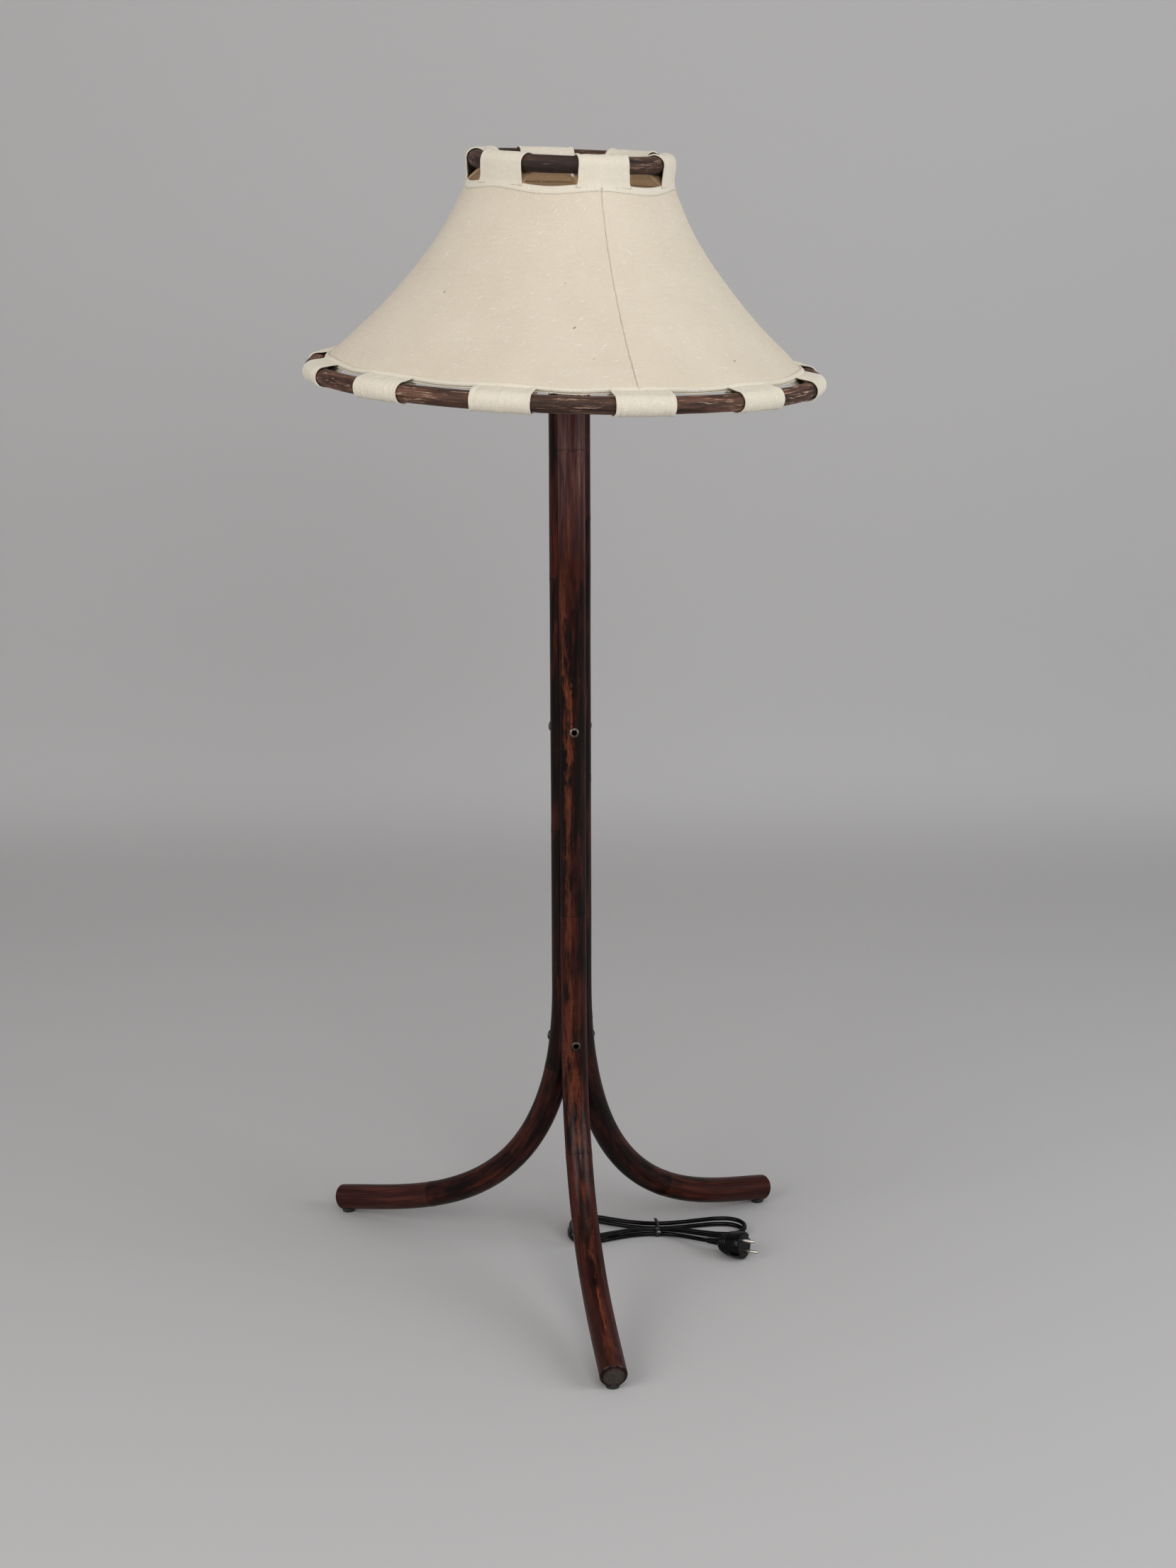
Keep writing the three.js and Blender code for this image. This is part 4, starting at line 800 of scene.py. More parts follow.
rubber = mottled(
    "moulded_black_rubber", 250.0, ("0e0e0e", "2c2b2a"), relief=(0.2, 0.0003), detail=6.0, Roughness=0.75,
)
gland_foot = LEAD_EXIT_HEIGHT
gland = [(3.3, gland_foot), (4.2, gland_foot), (4.4, gland_foot + 2)]
for rib in range(5):
    foot = gland_foot + 3 + rib * 4
    wide = 4.4 + 0.36 * (rib + 0.5)
    gland += [(wide, foot), (wide, foot + 2.3), (wide - 0.6, foot + 2.6), (wide - 0.6, foot + 3.6)]
gland += [(6, gland_foot + 25), (8, gland_foot + 25), (8, gland_foot + 28), (5, gland_foot + 28)]
gland += [(5, gland_foot + 38), (3.3, gland_foot + 38), (3.3, gland_foot)]
turn_piece("rubber_sleeve", gland, 40, rubber, "cord_gland", rounded=0.2)
rim = GLIDE_DIAMETER / 2
for name in cane_lines:
    low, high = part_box("glide_" + name)
    glide = turn_profile([(0, 0), (rim - 1, 0), (rim - 0.3, 0.3), (rim, 1), (rim, 6), (0, 6)], 32)
    middle = Matrix.Translation(((low[0] + high[0]) / 2, (low[1] + high[1]) / 2, 0))
    add_piece("rubber_glide_" + name, move(glide, middle), rubber, "stand", ["glide_" + name])


def dress_node(node_name, material):
    """Gives a CAD node, which keeps its own plain shape, a material."""
    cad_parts[node_name].data.materials.clear()
    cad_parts[node_name].data.materials.append(material)


dress_node("lead_in_column", pvc)

# The column's head. A spun steel cap, enamelled dark brown, closes the canes' ends. A threaded
# nipple through it is held by a zinc-plated hexagon nut and carries the lampholder.
CAP_RADIUS = 30.6
CAP_FOOT, CAP_TOP = 1231, 1257.8
CAP_WALL = 2.5
NIPPLE_FOOT, NIPPLE_TOP, NIPPLE_THREADS = 1240, 1271.4, 30
enamel = mottled(
    "dark_brown_enamel", 600.0, ("241712", "35241d"), relief=(0.12, 0.0003), Roughness=0.3, Coat_Weight=0.3,
)
inner = CAP_RADIUS - CAP_WALL
turn_piece("spun_cap", [
    (5.3, CAP_TOP - CAP_WALL), (inner, CAP_TOP - CAP_WALL), (inner, CAP_FOOT), (CAP_RADIUS, CAP_FOOT),
    (CAP_RADIUS, CAP_TOP - 2), (CAP_RADIUS - 0.6, CAP_TOP - 0.6), (CAP_RADIUS - 2, CAP_TOP),
    (5.3, CAP_TOP), (5.3, CAP_TOP - CAP_WALL),
], 72, enamel, "column_cap", rounded=0.5)
nipple = [(3.5, NIPPLE_FOOT), (4.6, NIPPLE_FOOT)]
for thread in range(NIPPLE_THREADS):
    nipple += [(5, NIPPLE_FOOT + 0.8 + thread), (4.55, NIPPLE_FOOT + 1.3 + thread)]
nipple += [(4.6, NIPPLE_TOP), (3.5, NIPPLE_TOP), (3.5, NIPPLE_FOOT)]
turn_piece("threaded_nipple", nipple, 32, steel, "nipple")
dress_node("lock_nut", steel)

# The lampholder. A black phenolic base screws on the nipple and holds the rotary switch, a
# threaded phenolic shell screws on the base, and inside it a glazed porcelain insulator carries
# the brass screw shell and the spring contact.
HOLDER_FOOT, BASE_TOP = 1262.4, 1282.4
SHELL_FOOT, SHELL_TOP = 1282.7, 1326.7
THREAD_ROOT, THREAD_CREST = 18.95, 19.5
SCREW_PITCH = 3.6
phenolic = mottled(
    "moulded_phenolic", 120.0, ("0f0d0c", "2a221e"), (0.18, 0.45), detail=8.0, broken=0.7, Roughness=0.3,
)
turn_piece("holder_base_moulded", [
    (5.2, HOLDER_FOOT), (12, HOLDER_FOOT), (13, HOLDER_FOOT + 1), (13, HOLDER_FOOT + 8.5),
    (13.6, HOLDER_FOOT + 9.6), (19, BASE_TOP - 7.6), (20, BASE_TOP - 6), (20, BASE_TOP - 0.4),
    (19.6, BASE_TOP), (18, BASE_TOP), (18, BASE_TOP - 5), (12, BASE_TOP - 8), (10.8, HOLDER_FOOT + 3),
    (5.2, HOLDER_FOOT + 3), (5.2, HOLDER_FOOT),
], 64, phenolic, "lampholder_base", rounded=0.4)
shell = [(16, SHELL_FOOT), (THREAD_CREST, SHELL_FOOT), (20, SHELL_FOOT + 0.5)]
shell += [(20, SHELL_FOOT + 14.1), (19.8, SHELL_FOOT + 14.5)]
for thread in range(14):
    root = SHELL_FOOT + 15.1 + 2 * thread
    shell += [(THREAD_ROOT, root), (THREAD_CREST, root + 0.8), (THREAD_CREST, root + 1.2)]
shell += [(THREAD_ROOT, SHELL_TOP - 1.1), (18.6, SHELL_TOP), (15.9, SHELL_TOP), (15.7, SHELL_TOP - 0.7)]
shell += [(15.7, SHELL_FOOT + 8.3), (16, SHELL_FOOT)]
turn_piece("holder_shell_moulded", shell, 72, phenolic, "lampholder_shell")
porcelain = mottled(
    "glazed_porcelain", 300.0, ("e9e4d8", "d6cfbf"), detail=4.0, Roughness=0.16, IOR=1.5, Coat_Weight=0.6,
)
turn_piece("porcelain_insulator", [
    (0, 1276.7), (14.6, 1276.7), (15.1, 1277.2), (15.1, 1290.2), (14.6, 1290.7), (0, 1290.7),
], 48, porcelain, "lampholder_insulator")
brass = mottled(
    "pressed_brass", 200.0, ("d0a45a", "8d6a35"), (0.2, 0.45), detail=6.0, Metallic=1.0, Roughness=0.3,
)
outside, inside = [], []
for step in range(66):
    height = 1291.2 + step * 0.4
    wave = 0.45 * math.cos(2 * math.pi * (height - 1291) / SCREW_PITCH)
    outside.append((14.15 + wave, height))
    inside.append((13.75 + wave, height))
screw = outside + inside[::-1] + [outside[0]]
turn_piece("brass_screw_shell", screw, 64, brass, "lampholder_screw_shell")
contact = [(0, 1290.9), (3, 1290.9), (3, 1292.6), (2.2, 1293.2), (0, 1293.5)]
turn_piece("spring_contact", contact, 32, brass, "lampholder_contact")

# The switch. A fluted phenolic knob on a brass shaft turns in the side of the lampholder's base.
KNOB_TURN = math.radians(-40)
KNOB_OUT, KNOB_HEIGHT = 21.2, 1277.9


def flute(shaped, beyond, count, depth, sharpness):
    """Presses flutes into the side of a turned shape, beyond a radius in millimetres."""
    for vert in shaped.verts:
        if vert.co.xy.length * 1000 > beyond:
            turn = math.atan2(vert.co.y, vert.co.x)
            vert.co.xy *= 1 - depth * (0.5 - 0.5 * math.cos(count * turn)) ** sharpness


knob = turn_profile([
    (0, 0), (2.4, 0), (2.4, 1.4), (6.4, 1.4), (7, 2), (7, 12), (6.5, 12.7), (5.6, 13), (4.6, 12.5), (0, 12.4),
], 80)
flute(knob, 6.2, 10, 0.05, 0.6)
knob_place = facing_out(KNOB_OUT, KNOB_TURN, KNOB_HEIGHT)
add_piece("fluted_knob", move(knob, knob_place), phenolic, "switch", ["switch_knob"])

# The shade rings. Two fluted phenolic rings run on the shell's thread and clamp the carrier's
# ring between them. The upper one is screwed off to free the shade.
RING_BORE_RADIUS = 19.7
for level, foot, body in (("lower", 1297.7, "stand"), ("upper", 1306.3, "lock_ring")):
    turn_piece("fluted_ring_" + level, [
        (RING_BORE_RADIUS, foot), (25.8, foot), (27, foot + 1), (27, foot + 5), (25.8, foot + 6),
        (20.6, foot + 6), (RING_BORE_RADIUS, foot + 5.3), (RING_BORE_RADIUS, foot),
    ], 128, phenolic, "shade_ring_" + level, body, 0.25, flutes=(25.5, 16, 0.04, 2))

# The bulb. A frosted lamp with a 27 mm screw cap: a rolled cap of nickel-plated brass with its
# thread and solder tip, cemented to a blown globe that is white inside.
BULB_CAP_RADIUS = 13.2
THREAD_START = 1299.8
GLOBE_RADIUS, GLOBE_MIDDLE = 30, 1371.1
bulb_cap = [(0, 1293.8), (3.6, 1294), (4.5, 1295), (4.5, 1296.2), (9.6, 1296.8), (12.4, 1299.4)]
for step in range(37):
    height = THREAD_START + step * 0.4
    wave = 0.38 * math.cos(2 * math.pi * (height - THREAD_START) / SCREW_PITCH)
    bulb_cap.append((BULB_CAP_RADIUS - 0.4 + wave, height))
bulb_cap += [(12.6, 1315.4), (12.9, 1318), (12.6, 1318.8), (0, 1318.8)]
turn_piece("bulb_cap_rolled", bulb_cap, 64, nickel, "bulb_base", "bulb")
# Blown glass, etched white inside: smooth and bright, with a soft gleam
opal = mottled(
    "blown_opal_glass", 30.0, ("f2f0ea", "e6e3da"), Roughness=0.12, IOR=1.5, Coat_Weight=0.5,
)
globe = [(0, 1319.1), (12.3, 1319.1), (12.5, 1319.6), (12.7, 1324), (14.2, 1332), (17.6, 1341), (21.7, 1350.4)]
for step in range(-3, 12):
    angle = math.pi * step / 24
    globe.append((GLOBE_RADIUS * math.cos(angle), GLOBE_MIDDLE + GLOBE_RADIUS * math.sin(angle)))
globe.append((0, GLOBE_MIDDLE + GLOBE_RADIUS))
turn_piece("bulb_globe", globe, 72, opal, "bulb_glass", "bulb")

# The shade carrier. A punched steel ring on the lampholder carries three steel wires, welded on
# and zinc-plated, that rise to the upper hoop and end in holes bored in it.
UPPER_HOOP_RADIUS, UPPER_HOOP_HEIGHT = 116, 1470
LOWER_HOOP_RADIUS, LOWER_HOOP_HEIGHT = 313.5, 1211
HOOP_RADIUS = 10.5
SEAM_TURN = math.radians(-73)
SHADE_LEAN, LEAN_HEIGHT = math.radians(2), 1390
CARRIER_FOOT, CARRIER_TOP, CARRIER_RADIUS = 1304, 1306, 32
WIRE_RADIUS, WIRE_BEND = 2, 9
WIRE_FOOT, WIRE_KNEE, WIRE_NECK, WIRE_TIP = 30, 52, 96, 111.5
lean_round = Matrix.Translation((0, 0, LEAN_HEIGHT)) @ Matrix.Rotation(SHADE_LEAN, 4, "Y")
leaning = lean_round @ Matrix.Translation((0, 0, -LEAN_HEIGHT))
shelf_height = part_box("shade_carrier")[0][2] * 1000 + WIRE_RADIUS
carrier = turn_profile([
    (RING_BORE_RADIUS, CARRIER_FOOT), (CARRIER_RADIUS - 0.4, CARRIER_FOOT),
    (CARRIER_RADIUS, CARRIER_FOOT + 0.4), (CARRIER_RADIUS, CARRIER_TOP - 0.4),
    (CARRIER_RADIUS - 0.4, CARRIER_TOP), (RING_BORE_RADIUS, CARRIER_TOP), (RING_BORE_RADIUS, CARRIER_FOOT),
], 72)
move(carrier, upright)


def in_shade(x, y, z):
    """Millimetres in the upright shade, as a place in the frame once it leans on its carrier."""
    return from_column(*(leaning @ Vector((x, y, z))))


def rounded_corners(corners, bend):
    """A line through corners, each rounded by a curve that starts a bend's length before it."""
    line = [corners[0]]
    for before, corner, after in zip(corners, corners[1:], corners[2:]):
        back = corner + (before - corner).normalized() * bend
        forth = corner + (after - corner).normalized() * bend
        line += interpolate_bezier(back, back.lerp(corner, 2 / 3), forth.lerp(corner, 2 / 3), forth, 12)
    return line + [corners[-1]]


for arm in range(3):
    turn = SEAM_TURN + 2 * math.pi * arm / 3
    line = rounded_corners([
        polar(WIRE_FOOT, turn, shelf_height), polar(WIRE_KNEE, turn, shelf_height),
        leaning @ polar(WIRE_NECK, turn, UPPER_HOOP_HEIGHT), leaning @ polar(WIRE_TIP, turn, UPPER_HOOP_HEIGHT),
    ], WIRE_BEND)
    distances = walk(line)
    stations = []
    for point, at in zip(line, distances):
        before = stand_on(line, distances, max(at - 0.5, 0.1))[1]
        after = stand_on(line, distances, at + 0.5)[1] if at < distances[-1] - 0.5 else before
        stations.append((point, (before + after).normalized(), WIRE_RADIUS))
    bar_along(stations, square_to(turn), 16, carrier)
add_piece("shade_carrier_wire", carrier, steel, "shade", ["shade_carrier"])

# The hoops. Each is one length of thinner rattan with its bark on, bent round and scarfed
# together, left unstained. The bark has greyed and flakes in long slivers.
bark, tree, surface = start_material("unstained_rattan_bark", Roughness=0.62, Specular_IOR_Level=0.25)
grain_place, grain_wrap = along_grain(tree)
broad = speckle(tree, grain_place, 140.0, grain_wrap, Detail=5.0, Roughness=0.6)
flake = speckle(tree, grain_place, 420.0, grain_wrap, Detail=6.0, Roughness=0.72)
fibre = speckle(tree, grain_place, 1400.0, grain_wrap, Detail=3.0)
ground = ranged(tree, broad, old=(0.36, 0.64), interpolation_type="SMOOTHSTEP")
bark_tone = mixed(tree, ground, "2c1a13", "6c4a39")
slivers = ranged(tree, flake, old=(0.56, 0.62))
pale = mixed(tree, slivers, bark_tone, "bb967f")
cracks = ranged(tree, flake, old=(0.44, 0.34))
cracked = mixed(tree, cracks, pale, "1c100c")
fine = ranged(tree, fibre, new=(0.8, 1.2))
fibred = shaded(tree, cracked, fine)
# bark painted darker by each hoop's share: the upper hoop all round, each front most, a painted shade
dress(
    tree, surface, Base_Color=mixed(tree, attribute(tree, "darkening_and_front_shade"), fibred, "17110e"),
    Roughness=ranged(tree, flake, new=(0.42, 0.8)), Normal=bumped(tree, flake, 0.8, 0.0012),
)
HOOP_SIDES = 28
# how much darker each hoop's front is painted, a painted shade, and how uneven the darkening is
HOOP_FRONT_PAINTED_SHADE, HOOP_DARKENING_UNEVEN = 0.36, 0.12
HOOP_RIDGES, HOOP_LUMPS = 0.03, 0.02
HOOP_STREAK_STRETCH = 1.6
for node_name, radius, height, steps, darkened in (
    ("hoop_upper", UPPER_HOOP_RADIUS, UPPER_HOOP_HEIGHT, 144, 0.46),
    ("hoop_lower", LOWER_HOOP_RADIUS, LOWER_HOOP_HEIGHT, 360, 0.02),
):
    hoop = bmesh.new()
    across = Matrix.Translation((radius / 1000, 0, 0)) @ Matrix.Rotation(math.pi / 2, 4, "X")
    section = bmesh.ops.create_circle(
        hoop, segments=HOOP_SIDES, radius=HOOP_RADIUS / 1000, matrix=across,
    )["verts"]
    bmesh.ops.spin(
        hoop, geom=section + hoop.edges[:], cent=(0, 0, 0), axis=(0, 0, 1), angle=2 * math.pi, steps=steps,
        use_merge=True,
    )
    bmesh.ops.remove_doubles(hoop, verts=hoop.verts, dist=1e-6)
    bmesh.ops.recalc_face_normals(hoop, faces=hoop.faces)
    straight_layer = hoop.verts.layers.float_vector.new("straight")
    wrap_layer = hoop.verts.layers.float.new("wrap")
    hoop_darkening_layer = hoop.verts.layers.float.new("darkening_and_front_shade")
    around = radius / 1000 * STREAK_STRETCH * HOOP_STREAK_STRETCH
    for vert in hoop.verts:
        turn = math.atan2(vert.co.y, vert.co.x)
        inward = vert.co.xy.length - radius / 1000
        vert[straight_layer] = Vector((inward, vert.co.z, around * math.cos(turn)))
        vert[wrap_layer] = around * math.sin(turn)
        # the front of each hoop is painted darker, a painted shade
        vert[hoop_darkening_layer] = (
            darkened + HOOP_DARKENING_UNEVEN * noise.noise(Vector((turn * 2, 0, height)))
            + HOOP_FRONT_PAINTED_SHADE * max(-math.sin(turn), 0) ** 6
        )
        bend = math.atan2(vert.co.z, inward)
        ridges = noise.noise(Vector((math.cos(bend) * 2.2, math.sin(bend) * 2.2, turn * radius / 90)))
        lumps = noise.noise(Vector((turn * radius / 40, 3, 0)))
        # both fade out where the turn jumps from one end of its range to the other
        fade = 0.5 - 0.5 * math.cos(min(abs(abs(turn) - math.pi) * radius / 30, math.pi))
        swell = 1 + (HOOP_RIDGES * ridges + HOOP_LUMPS * lumps) * fade
        middle = Vector((math.cos(turn), math.sin(turn), 0)) * radius / 1000
        vert.co = middle + (vert.co - middle) * swell
    move(hoop, Matrix.Translation(in_shade(0, 0, height)) @ Matrix.Rotation(SHADE_LEAN, 4, "Y"))
    add_piece(node_name + "_bark", hoop, bark, "shade", [node_name])

# The canvas. Two halves of cream cotton canvas, cut to a flare and seamed front and back, are held
# taut between the hoops. The neck is faced with a stitched band and draws back between its loops,
# and the rolled hem sags a little between the loops that pull it.
FLARE = [Vector(point) for point in (
    (124.2, 0, 1453.8), (146.3, 0, 1383.6), (201.9, 0, 1305.8), (297.4, 0, 1225.3),
)]
CANVAS_THICKNESS = 1.2
NECK_START, NECK_SCALLOP = 4.7, 5
HEM_SCALLOP, HEM_WIDTH, HEM_THICKNESS = -2.2, 6, 4.4
FACING_WIDTH = 10
UPPER_LOOPS, LOWER_LOOPS = 6, 12
PANEL_COLUMNS, PANEL_ROWS = 170, 110
# How far the cloth stands off its taut line in millimetres, and over what distance that fades
HEM_HOLLOW, NECK_HOLLOW = (1.5, 38), (1.6, 30)
SEAM_GROOVE, SEAM_RIDGE, HEM_GROOVE = (1.5, 1.3), (0.3, 2), (1.3, 1.2)
SEAM_PUCKER = (1.2, 7)
EDGE_WAVE = 1.1
FLARE_STEPS = 400
SHADE_MIDDLE = 1300
flare_line = interpolate_bezier(*FLARE, FLARE_STEPS)
flare_distances = walk(flare_line)
flare_length = flare_distances[-1]


def scallop(azimuth, loops):
    """How far an edge has drawn back between two loops, from 0 under a loop to 1."""
    return (1 - math.cos(loops * (azimuth - SEAM_TURN))) / 2


def flare_side(at, offset):
    """A point beside the flare, as its radius and height: at down it, and offset off its face."""
    point, direction = stand_on(flare_line, flare_distances, at)
    return Vector((point.x - direction.z * offset, 0, point.z + direction.x * offset))


def on_flare(azimuth, at, offset):
    """The same point as a place in the frame, at an azimuth."""
    beside = flare_side(at, offset)
    return in_shade(*polar(beside.x, azimuth, beside.z))


def canvas_span(azimuth):
    """Where the canvas starts and ends along the flare."""
    start = NECK_START + NECK_SCALLOP * scallop(azimuth, UPPER_LOOPS)
    wavy = EDGE_WAVE * noise.noise(polar(5, azimuth, 2))
    return start, flare_length - HEM_SCALLOP * scallop(azimuth, LOWER_LOOPS) + wavy


def canvas_swell(azimuth, at):
    """How far the cloth stands off its taut line: hollow between the loops, puckered at a seam."""
    start, end = canvas_span(azimuth)
    radius = stand_on(flare_line, flare_distances, at)[0].x
    hem_share = scallop(azimuth, LOWER_LOOPS) * math.exp((at - end) / HEM_HOLLOW[1])
    neck_share = scallop(azimuth, UPPER_LOOPS) * math.exp((start - at) / NECK_HOLLOW[1])
    hollow = -HEM_HOLLOW[0] * hem_share - NECK_HOLLOW[0] * neck_share
    from_seam = abs(math.remainder(azimuth - SEAM_TURN, math.pi)) * radius
    groove = -SEAM_GROOVE[0] * math.exp(-(from_seam / SEAM_GROOVE[1]) ** 2)
    groove += SEAM_RIDGE[0] * math.exp(-((from_seam - 4) / SEAM_RIDGE[1]) ** 2)
    groove -= HEM_GROOVE[0] * math.exp(-((end - at - HEM_WIDTH - 1.2) / HEM_GROOVE[1]) ** 2)
    gathers = noise.noise(Vector((azimuth * 2, at / 9, 7)))
    pucker = SEAM_PUCKER[0] * gathers * math.exp(-from_seam / SEAM_PUCKER[1])
    where = polar(radius / 60, azimuth, at / 60)
    slack = 0.9 * noise.noise(where) + 0.25 * noise.noise(where * 4)
    edge = min(at - start, end - at) / 25
    return hollow + groove + pucker + slack * min(max(edge, 0.15), 1)


def laid_sheet(columns, rows, place_at, cloth_at, close=False):
    """A sheet of cloth: a grid whose every vertex is laid where place_at puts it, from how far
    across and up it is, with its place on the flat cloth, in metres, as its UV."""
    shaped = bmesh.new()
    bmesh.ops.create_grid(shaped, x_segments=columns, y_segments=rows, size=0.5)
    uv = shaped.loops.layers.uv.new("cloth")
    for face in shaped.faces:
        for loop in face.loops:
            loop[uv].uv = cloth_at(loop.vert.co.x + 0.5, loop.vert.co.y + 0.5)
    for vert in shaped.verts:
        vert.co = place_at(vert.co.x + 0.5, vert.co.y + 0.5)
    if close:
        bmesh.ops.remove_doubles(shaped, verts=shaped.verts, dist=1e-5)
    return shaped


def thicken(piece, thickness):
    wall = piece.modifiers.new("cloth_thickness", "SOLIDIFY")
    wall.thickness = thickness / 1000
    wall.offset = 0.0


def line_inside(piece, middle):
    """Turns a sheet's face away from a middle, and gives its other face the cloth painted as inside shade."""
    mesh = piece.data
    face = mesh.polygons[len(mesh.polygons) // 2]
    if (face.center - middle).dot(face.normal) < 0:
        mesh.flip_normals()
    mesh.materials.append(inside_shade_canvas)
    piece.modifiers["cloth_thickness"].material_offset = 1


# Plain-woven cotton: cream, matt and slightly uneven, with thick slubs that catch the light and a
# few dark specks of husk. Its threads are 0.5 mm apart, drawn 1.4 mm apart so that they show. The
# straps and edges are of a paler cloth, and the inside of the shade is painted a darker, warmer
# cloth: painted shade.
cloths = []
for cloth_name, ground_tone, shaded_tone, slub_tone in (
    ("cream_cotton_canvas", "e7dac6", "daccb5", "f3ebdb"),
    ("pale_cotton_canvas", "ece3d1", "e2d7c3", "f4eee1"),
    # the inside of the shade is painted a darker, warmer cloth: painted shade
    ("canvas_inside_painted_shade", "ccab84", "b59470", "d6bc98"),
):
    canvas, tree, surface = start_material(
        cloth_name, Roughness=0.92, Sheen_Weight=0.1, Specular_IOR_Level=0.25,
    )
    cloth = add_node(tree, "ShaderNodeUVMap", uv_map="cloth").outputs["UV"]
    place = in_piece(tree)
    threads = {"Vector": cloth, "Scale": 224.0, "Distortion": 1.2, "Detail": 2.0, "Detail Scale": 60.0}
    warp, weft = [
        add_node(tree, "ShaderNodeTexWave", threads, bands_direction=way).outputs["Fac"] for way in ("X", "Y")
    ]
    weave = worked(tree, "ADD", warp, weft)
    thick_threads = []
    for fineness in ((430.0, 75.0, 1.0), (90.0, 480.0, 1.0)):
        slub_place = add_node(tree, "ShaderNodeMapping", {"Vector": cloth, "Scale": fineness})
        slub = speckle(tree, slub_place.outputs["Vector"], 1.0, Detail=2.0)
        thick_threads.append(ranged(tree, slub, old=(0.64, 0.7)))
    slubs = worked(tree, "MAXIMUM", *thick_threads)
    blotch = speckle(tree, place, 16.0, Detail=5.0, Roughness=0.6)
    lit = mixed(tree, slubs, mixed(tree, blotch, ground_tone, shaded_tone), slub_tone)
    husks = add_node(tree, "ShaderNodeTexVoronoi", {"Vector": cloth, "Scale": 30.0, "Randomness": 1.0})
    husk_near = ranged(tree, husks.outputs["Distance"], old=(0.055, 0.035))
    husk_chance = add_node(tree, "ShaderNodeSeparateColor", {"Color": husks.outputs["Color"]}).outputs["Red"]
    husk = worked(tree, "MULTIPLY", husk_near, worked(tree, "GREATER_THAN", husk_chance, 0.84))
    thread_tone = ranged(tree, weave, old=(0, 2.0), new=(0.93, 1.05))
    thread_height = worked(tree, "ADD", weave, worked(tree, "MULTIPLY", slubs, 4.0))
    dress(
        tree, surface, Base_Color=shaded(tree, mixed(tree, husk, lit, "937d62"), thread_tone),
        Normal=bumped(tree, thread_height, 0.55, 0.0006),
    )
    cloths.append(canvas)
canvas, pale_canvas, inside_shade_canvas = cloths

SEAM_GAP = 0.15 / 124
SEAM_CROWDING, EDGE_CROWDING = 0.85, 0.65


def crowd(share, crowding):
    """Shifts a share towards both ends, so that rows and columns lie closer there."""
    return share - crowding * math.sin(2 * math.pi * share) / (2 * math.pi)


for node_name, first in (("canvas_right", SEAM_TURN), ("canvas_left", SEAM_TURN + math.pi)):

    def panel_azimuth(across):
        return first + SEAM_GAP + (math.pi - 2 * SEAM_GAP) * crowd(across, SEAM_CROWDING)

    def panel_at(across, up):
        azimuth = panel_azimuth(across)
        start, end = canvas_span(azimuth)
        at = end - (end - start) * crowd(up, EDGE_CROWDING)
        return on_flare(azimuth, at, canvas_swell(azimuth, at))

    def panel_cloth(across, up):
        at = flare_length * (1 - crowd(up, EDGE_CROWDING))
        radius = stand_on(flare_line, flare_distances, at)[0].x
        return ((panel_azimuth(across) - first - math.pi / 2) * radius / 1000, -at / 1000)

    shaped = laid_sheet(PANEL_COLUMNS, PANEL_ROWS, panel_at, panel_cloth)
    panel = add_piece(node_name + "_cloth", shaped, canvas, "shade", [node_name])
    thicken(panel, CANVAS_THICKNESS)
    line_inside(panel, in_shade(0, 0, SHADE_MIDDLE))


# The canvas's edges. The neck is faced with a narrow band, folded over its edge and stitched down.
# The hem is rolled over twice and stands out as a soft bead. Inside it the cut edge is overlocked,
# and it hangs a little below in a ragged fringe.
RAW_EDGE_BITE, RAW_EDGE_PITCH = 1.8, 2.6
RAW_EDGE_TUCK, RAW_EDGE_OFF = 3, -1.5
FACING_OVERLAP, FACING_LIFT, FACING_UNEVEN = 0.3, 0.95, 0.25
HEM_OFF, HEM_UNEVEN = 0.5, 0.1


def edge_piece(name, columns, rows, place_at, flat, thickness=0):
    """A strip of the paler cloth right round the shade, laid by azimuth and share of its width."""
    shaped = laid_sheet(
        columns, rows, lambda across, up: place_at(SEAM_TURN + 2 * math.pi * across, up),
        lambda across, up: (across * flat[0], up * flat[1]), close=True,
    )
    if not thickness:
        bmesh.ops.recalc_face_normals(shaped, faces=shaped.faces)
    piece = add_piece(name, shaped, pale_canvas, "shade")
    if thickness:
        thicken(piece, thickness)
    return piece


def facing_at(azimuth, up):
    start, _ = canvas_span(azimuth)
    at = start + FACING_WIDTH * (1 - up) - FACING_OVERLAP
    lift = FACING_LIFT + FACING_UNEVEN * noise.noise(Vector((azimuth * 30, up * 2, 0)))
    return on_flare(azimuth, at, canvas_swell(azimuth, max(at, start)) + lift)


def hem_at(azimuth, round_it):
    _, end = canvas_span(azimuth)
    angle = 2 * math.pi * round_it
    lump = 1 + HEM_UNEVEN * noise.noise(Vector((azimuth * 40, math.cos(angle), math.sin(angle))))
    at = end - HEM_WIDTH / 2 - HEM_WIDTH / 2 * math.cos(angle) * lump
    offset = HEM_OFF + HEM_THICKNESS / 2 * math.sin(angle) * lump
    return on_flare(azimuth, at, offset + canvas_swell(azimuth, end - 1))


def raw_edge_at(azimuth, up):
    _, end = canvas_span(azimuth)
    along = azimuth * LOWER_HOOP_RADIUS
    bite = abs((along / RAW_EDGE_PITCH) % 1 - 0.5) * RAW_EDGE_BITE
    tatter = 1.1 + 1.3 * noise.noise(Vector((along / 26, 0, 5))) + 0.8 * noise.noise(Vector((along / 3, 9, 0)))
    hang = (1 - up) * (bite + max(tatter, 0.1))
    curl = 0.5 * noise.noise(Vector((along / 7, up, 1))) * (1 - up)
    return on_flare(
        azimuth, end - RAW_EDGE_TUCK * up + hang, RAW_EDGE_OFF + curl + canvas_swell(azimuth, end - 1),
    )


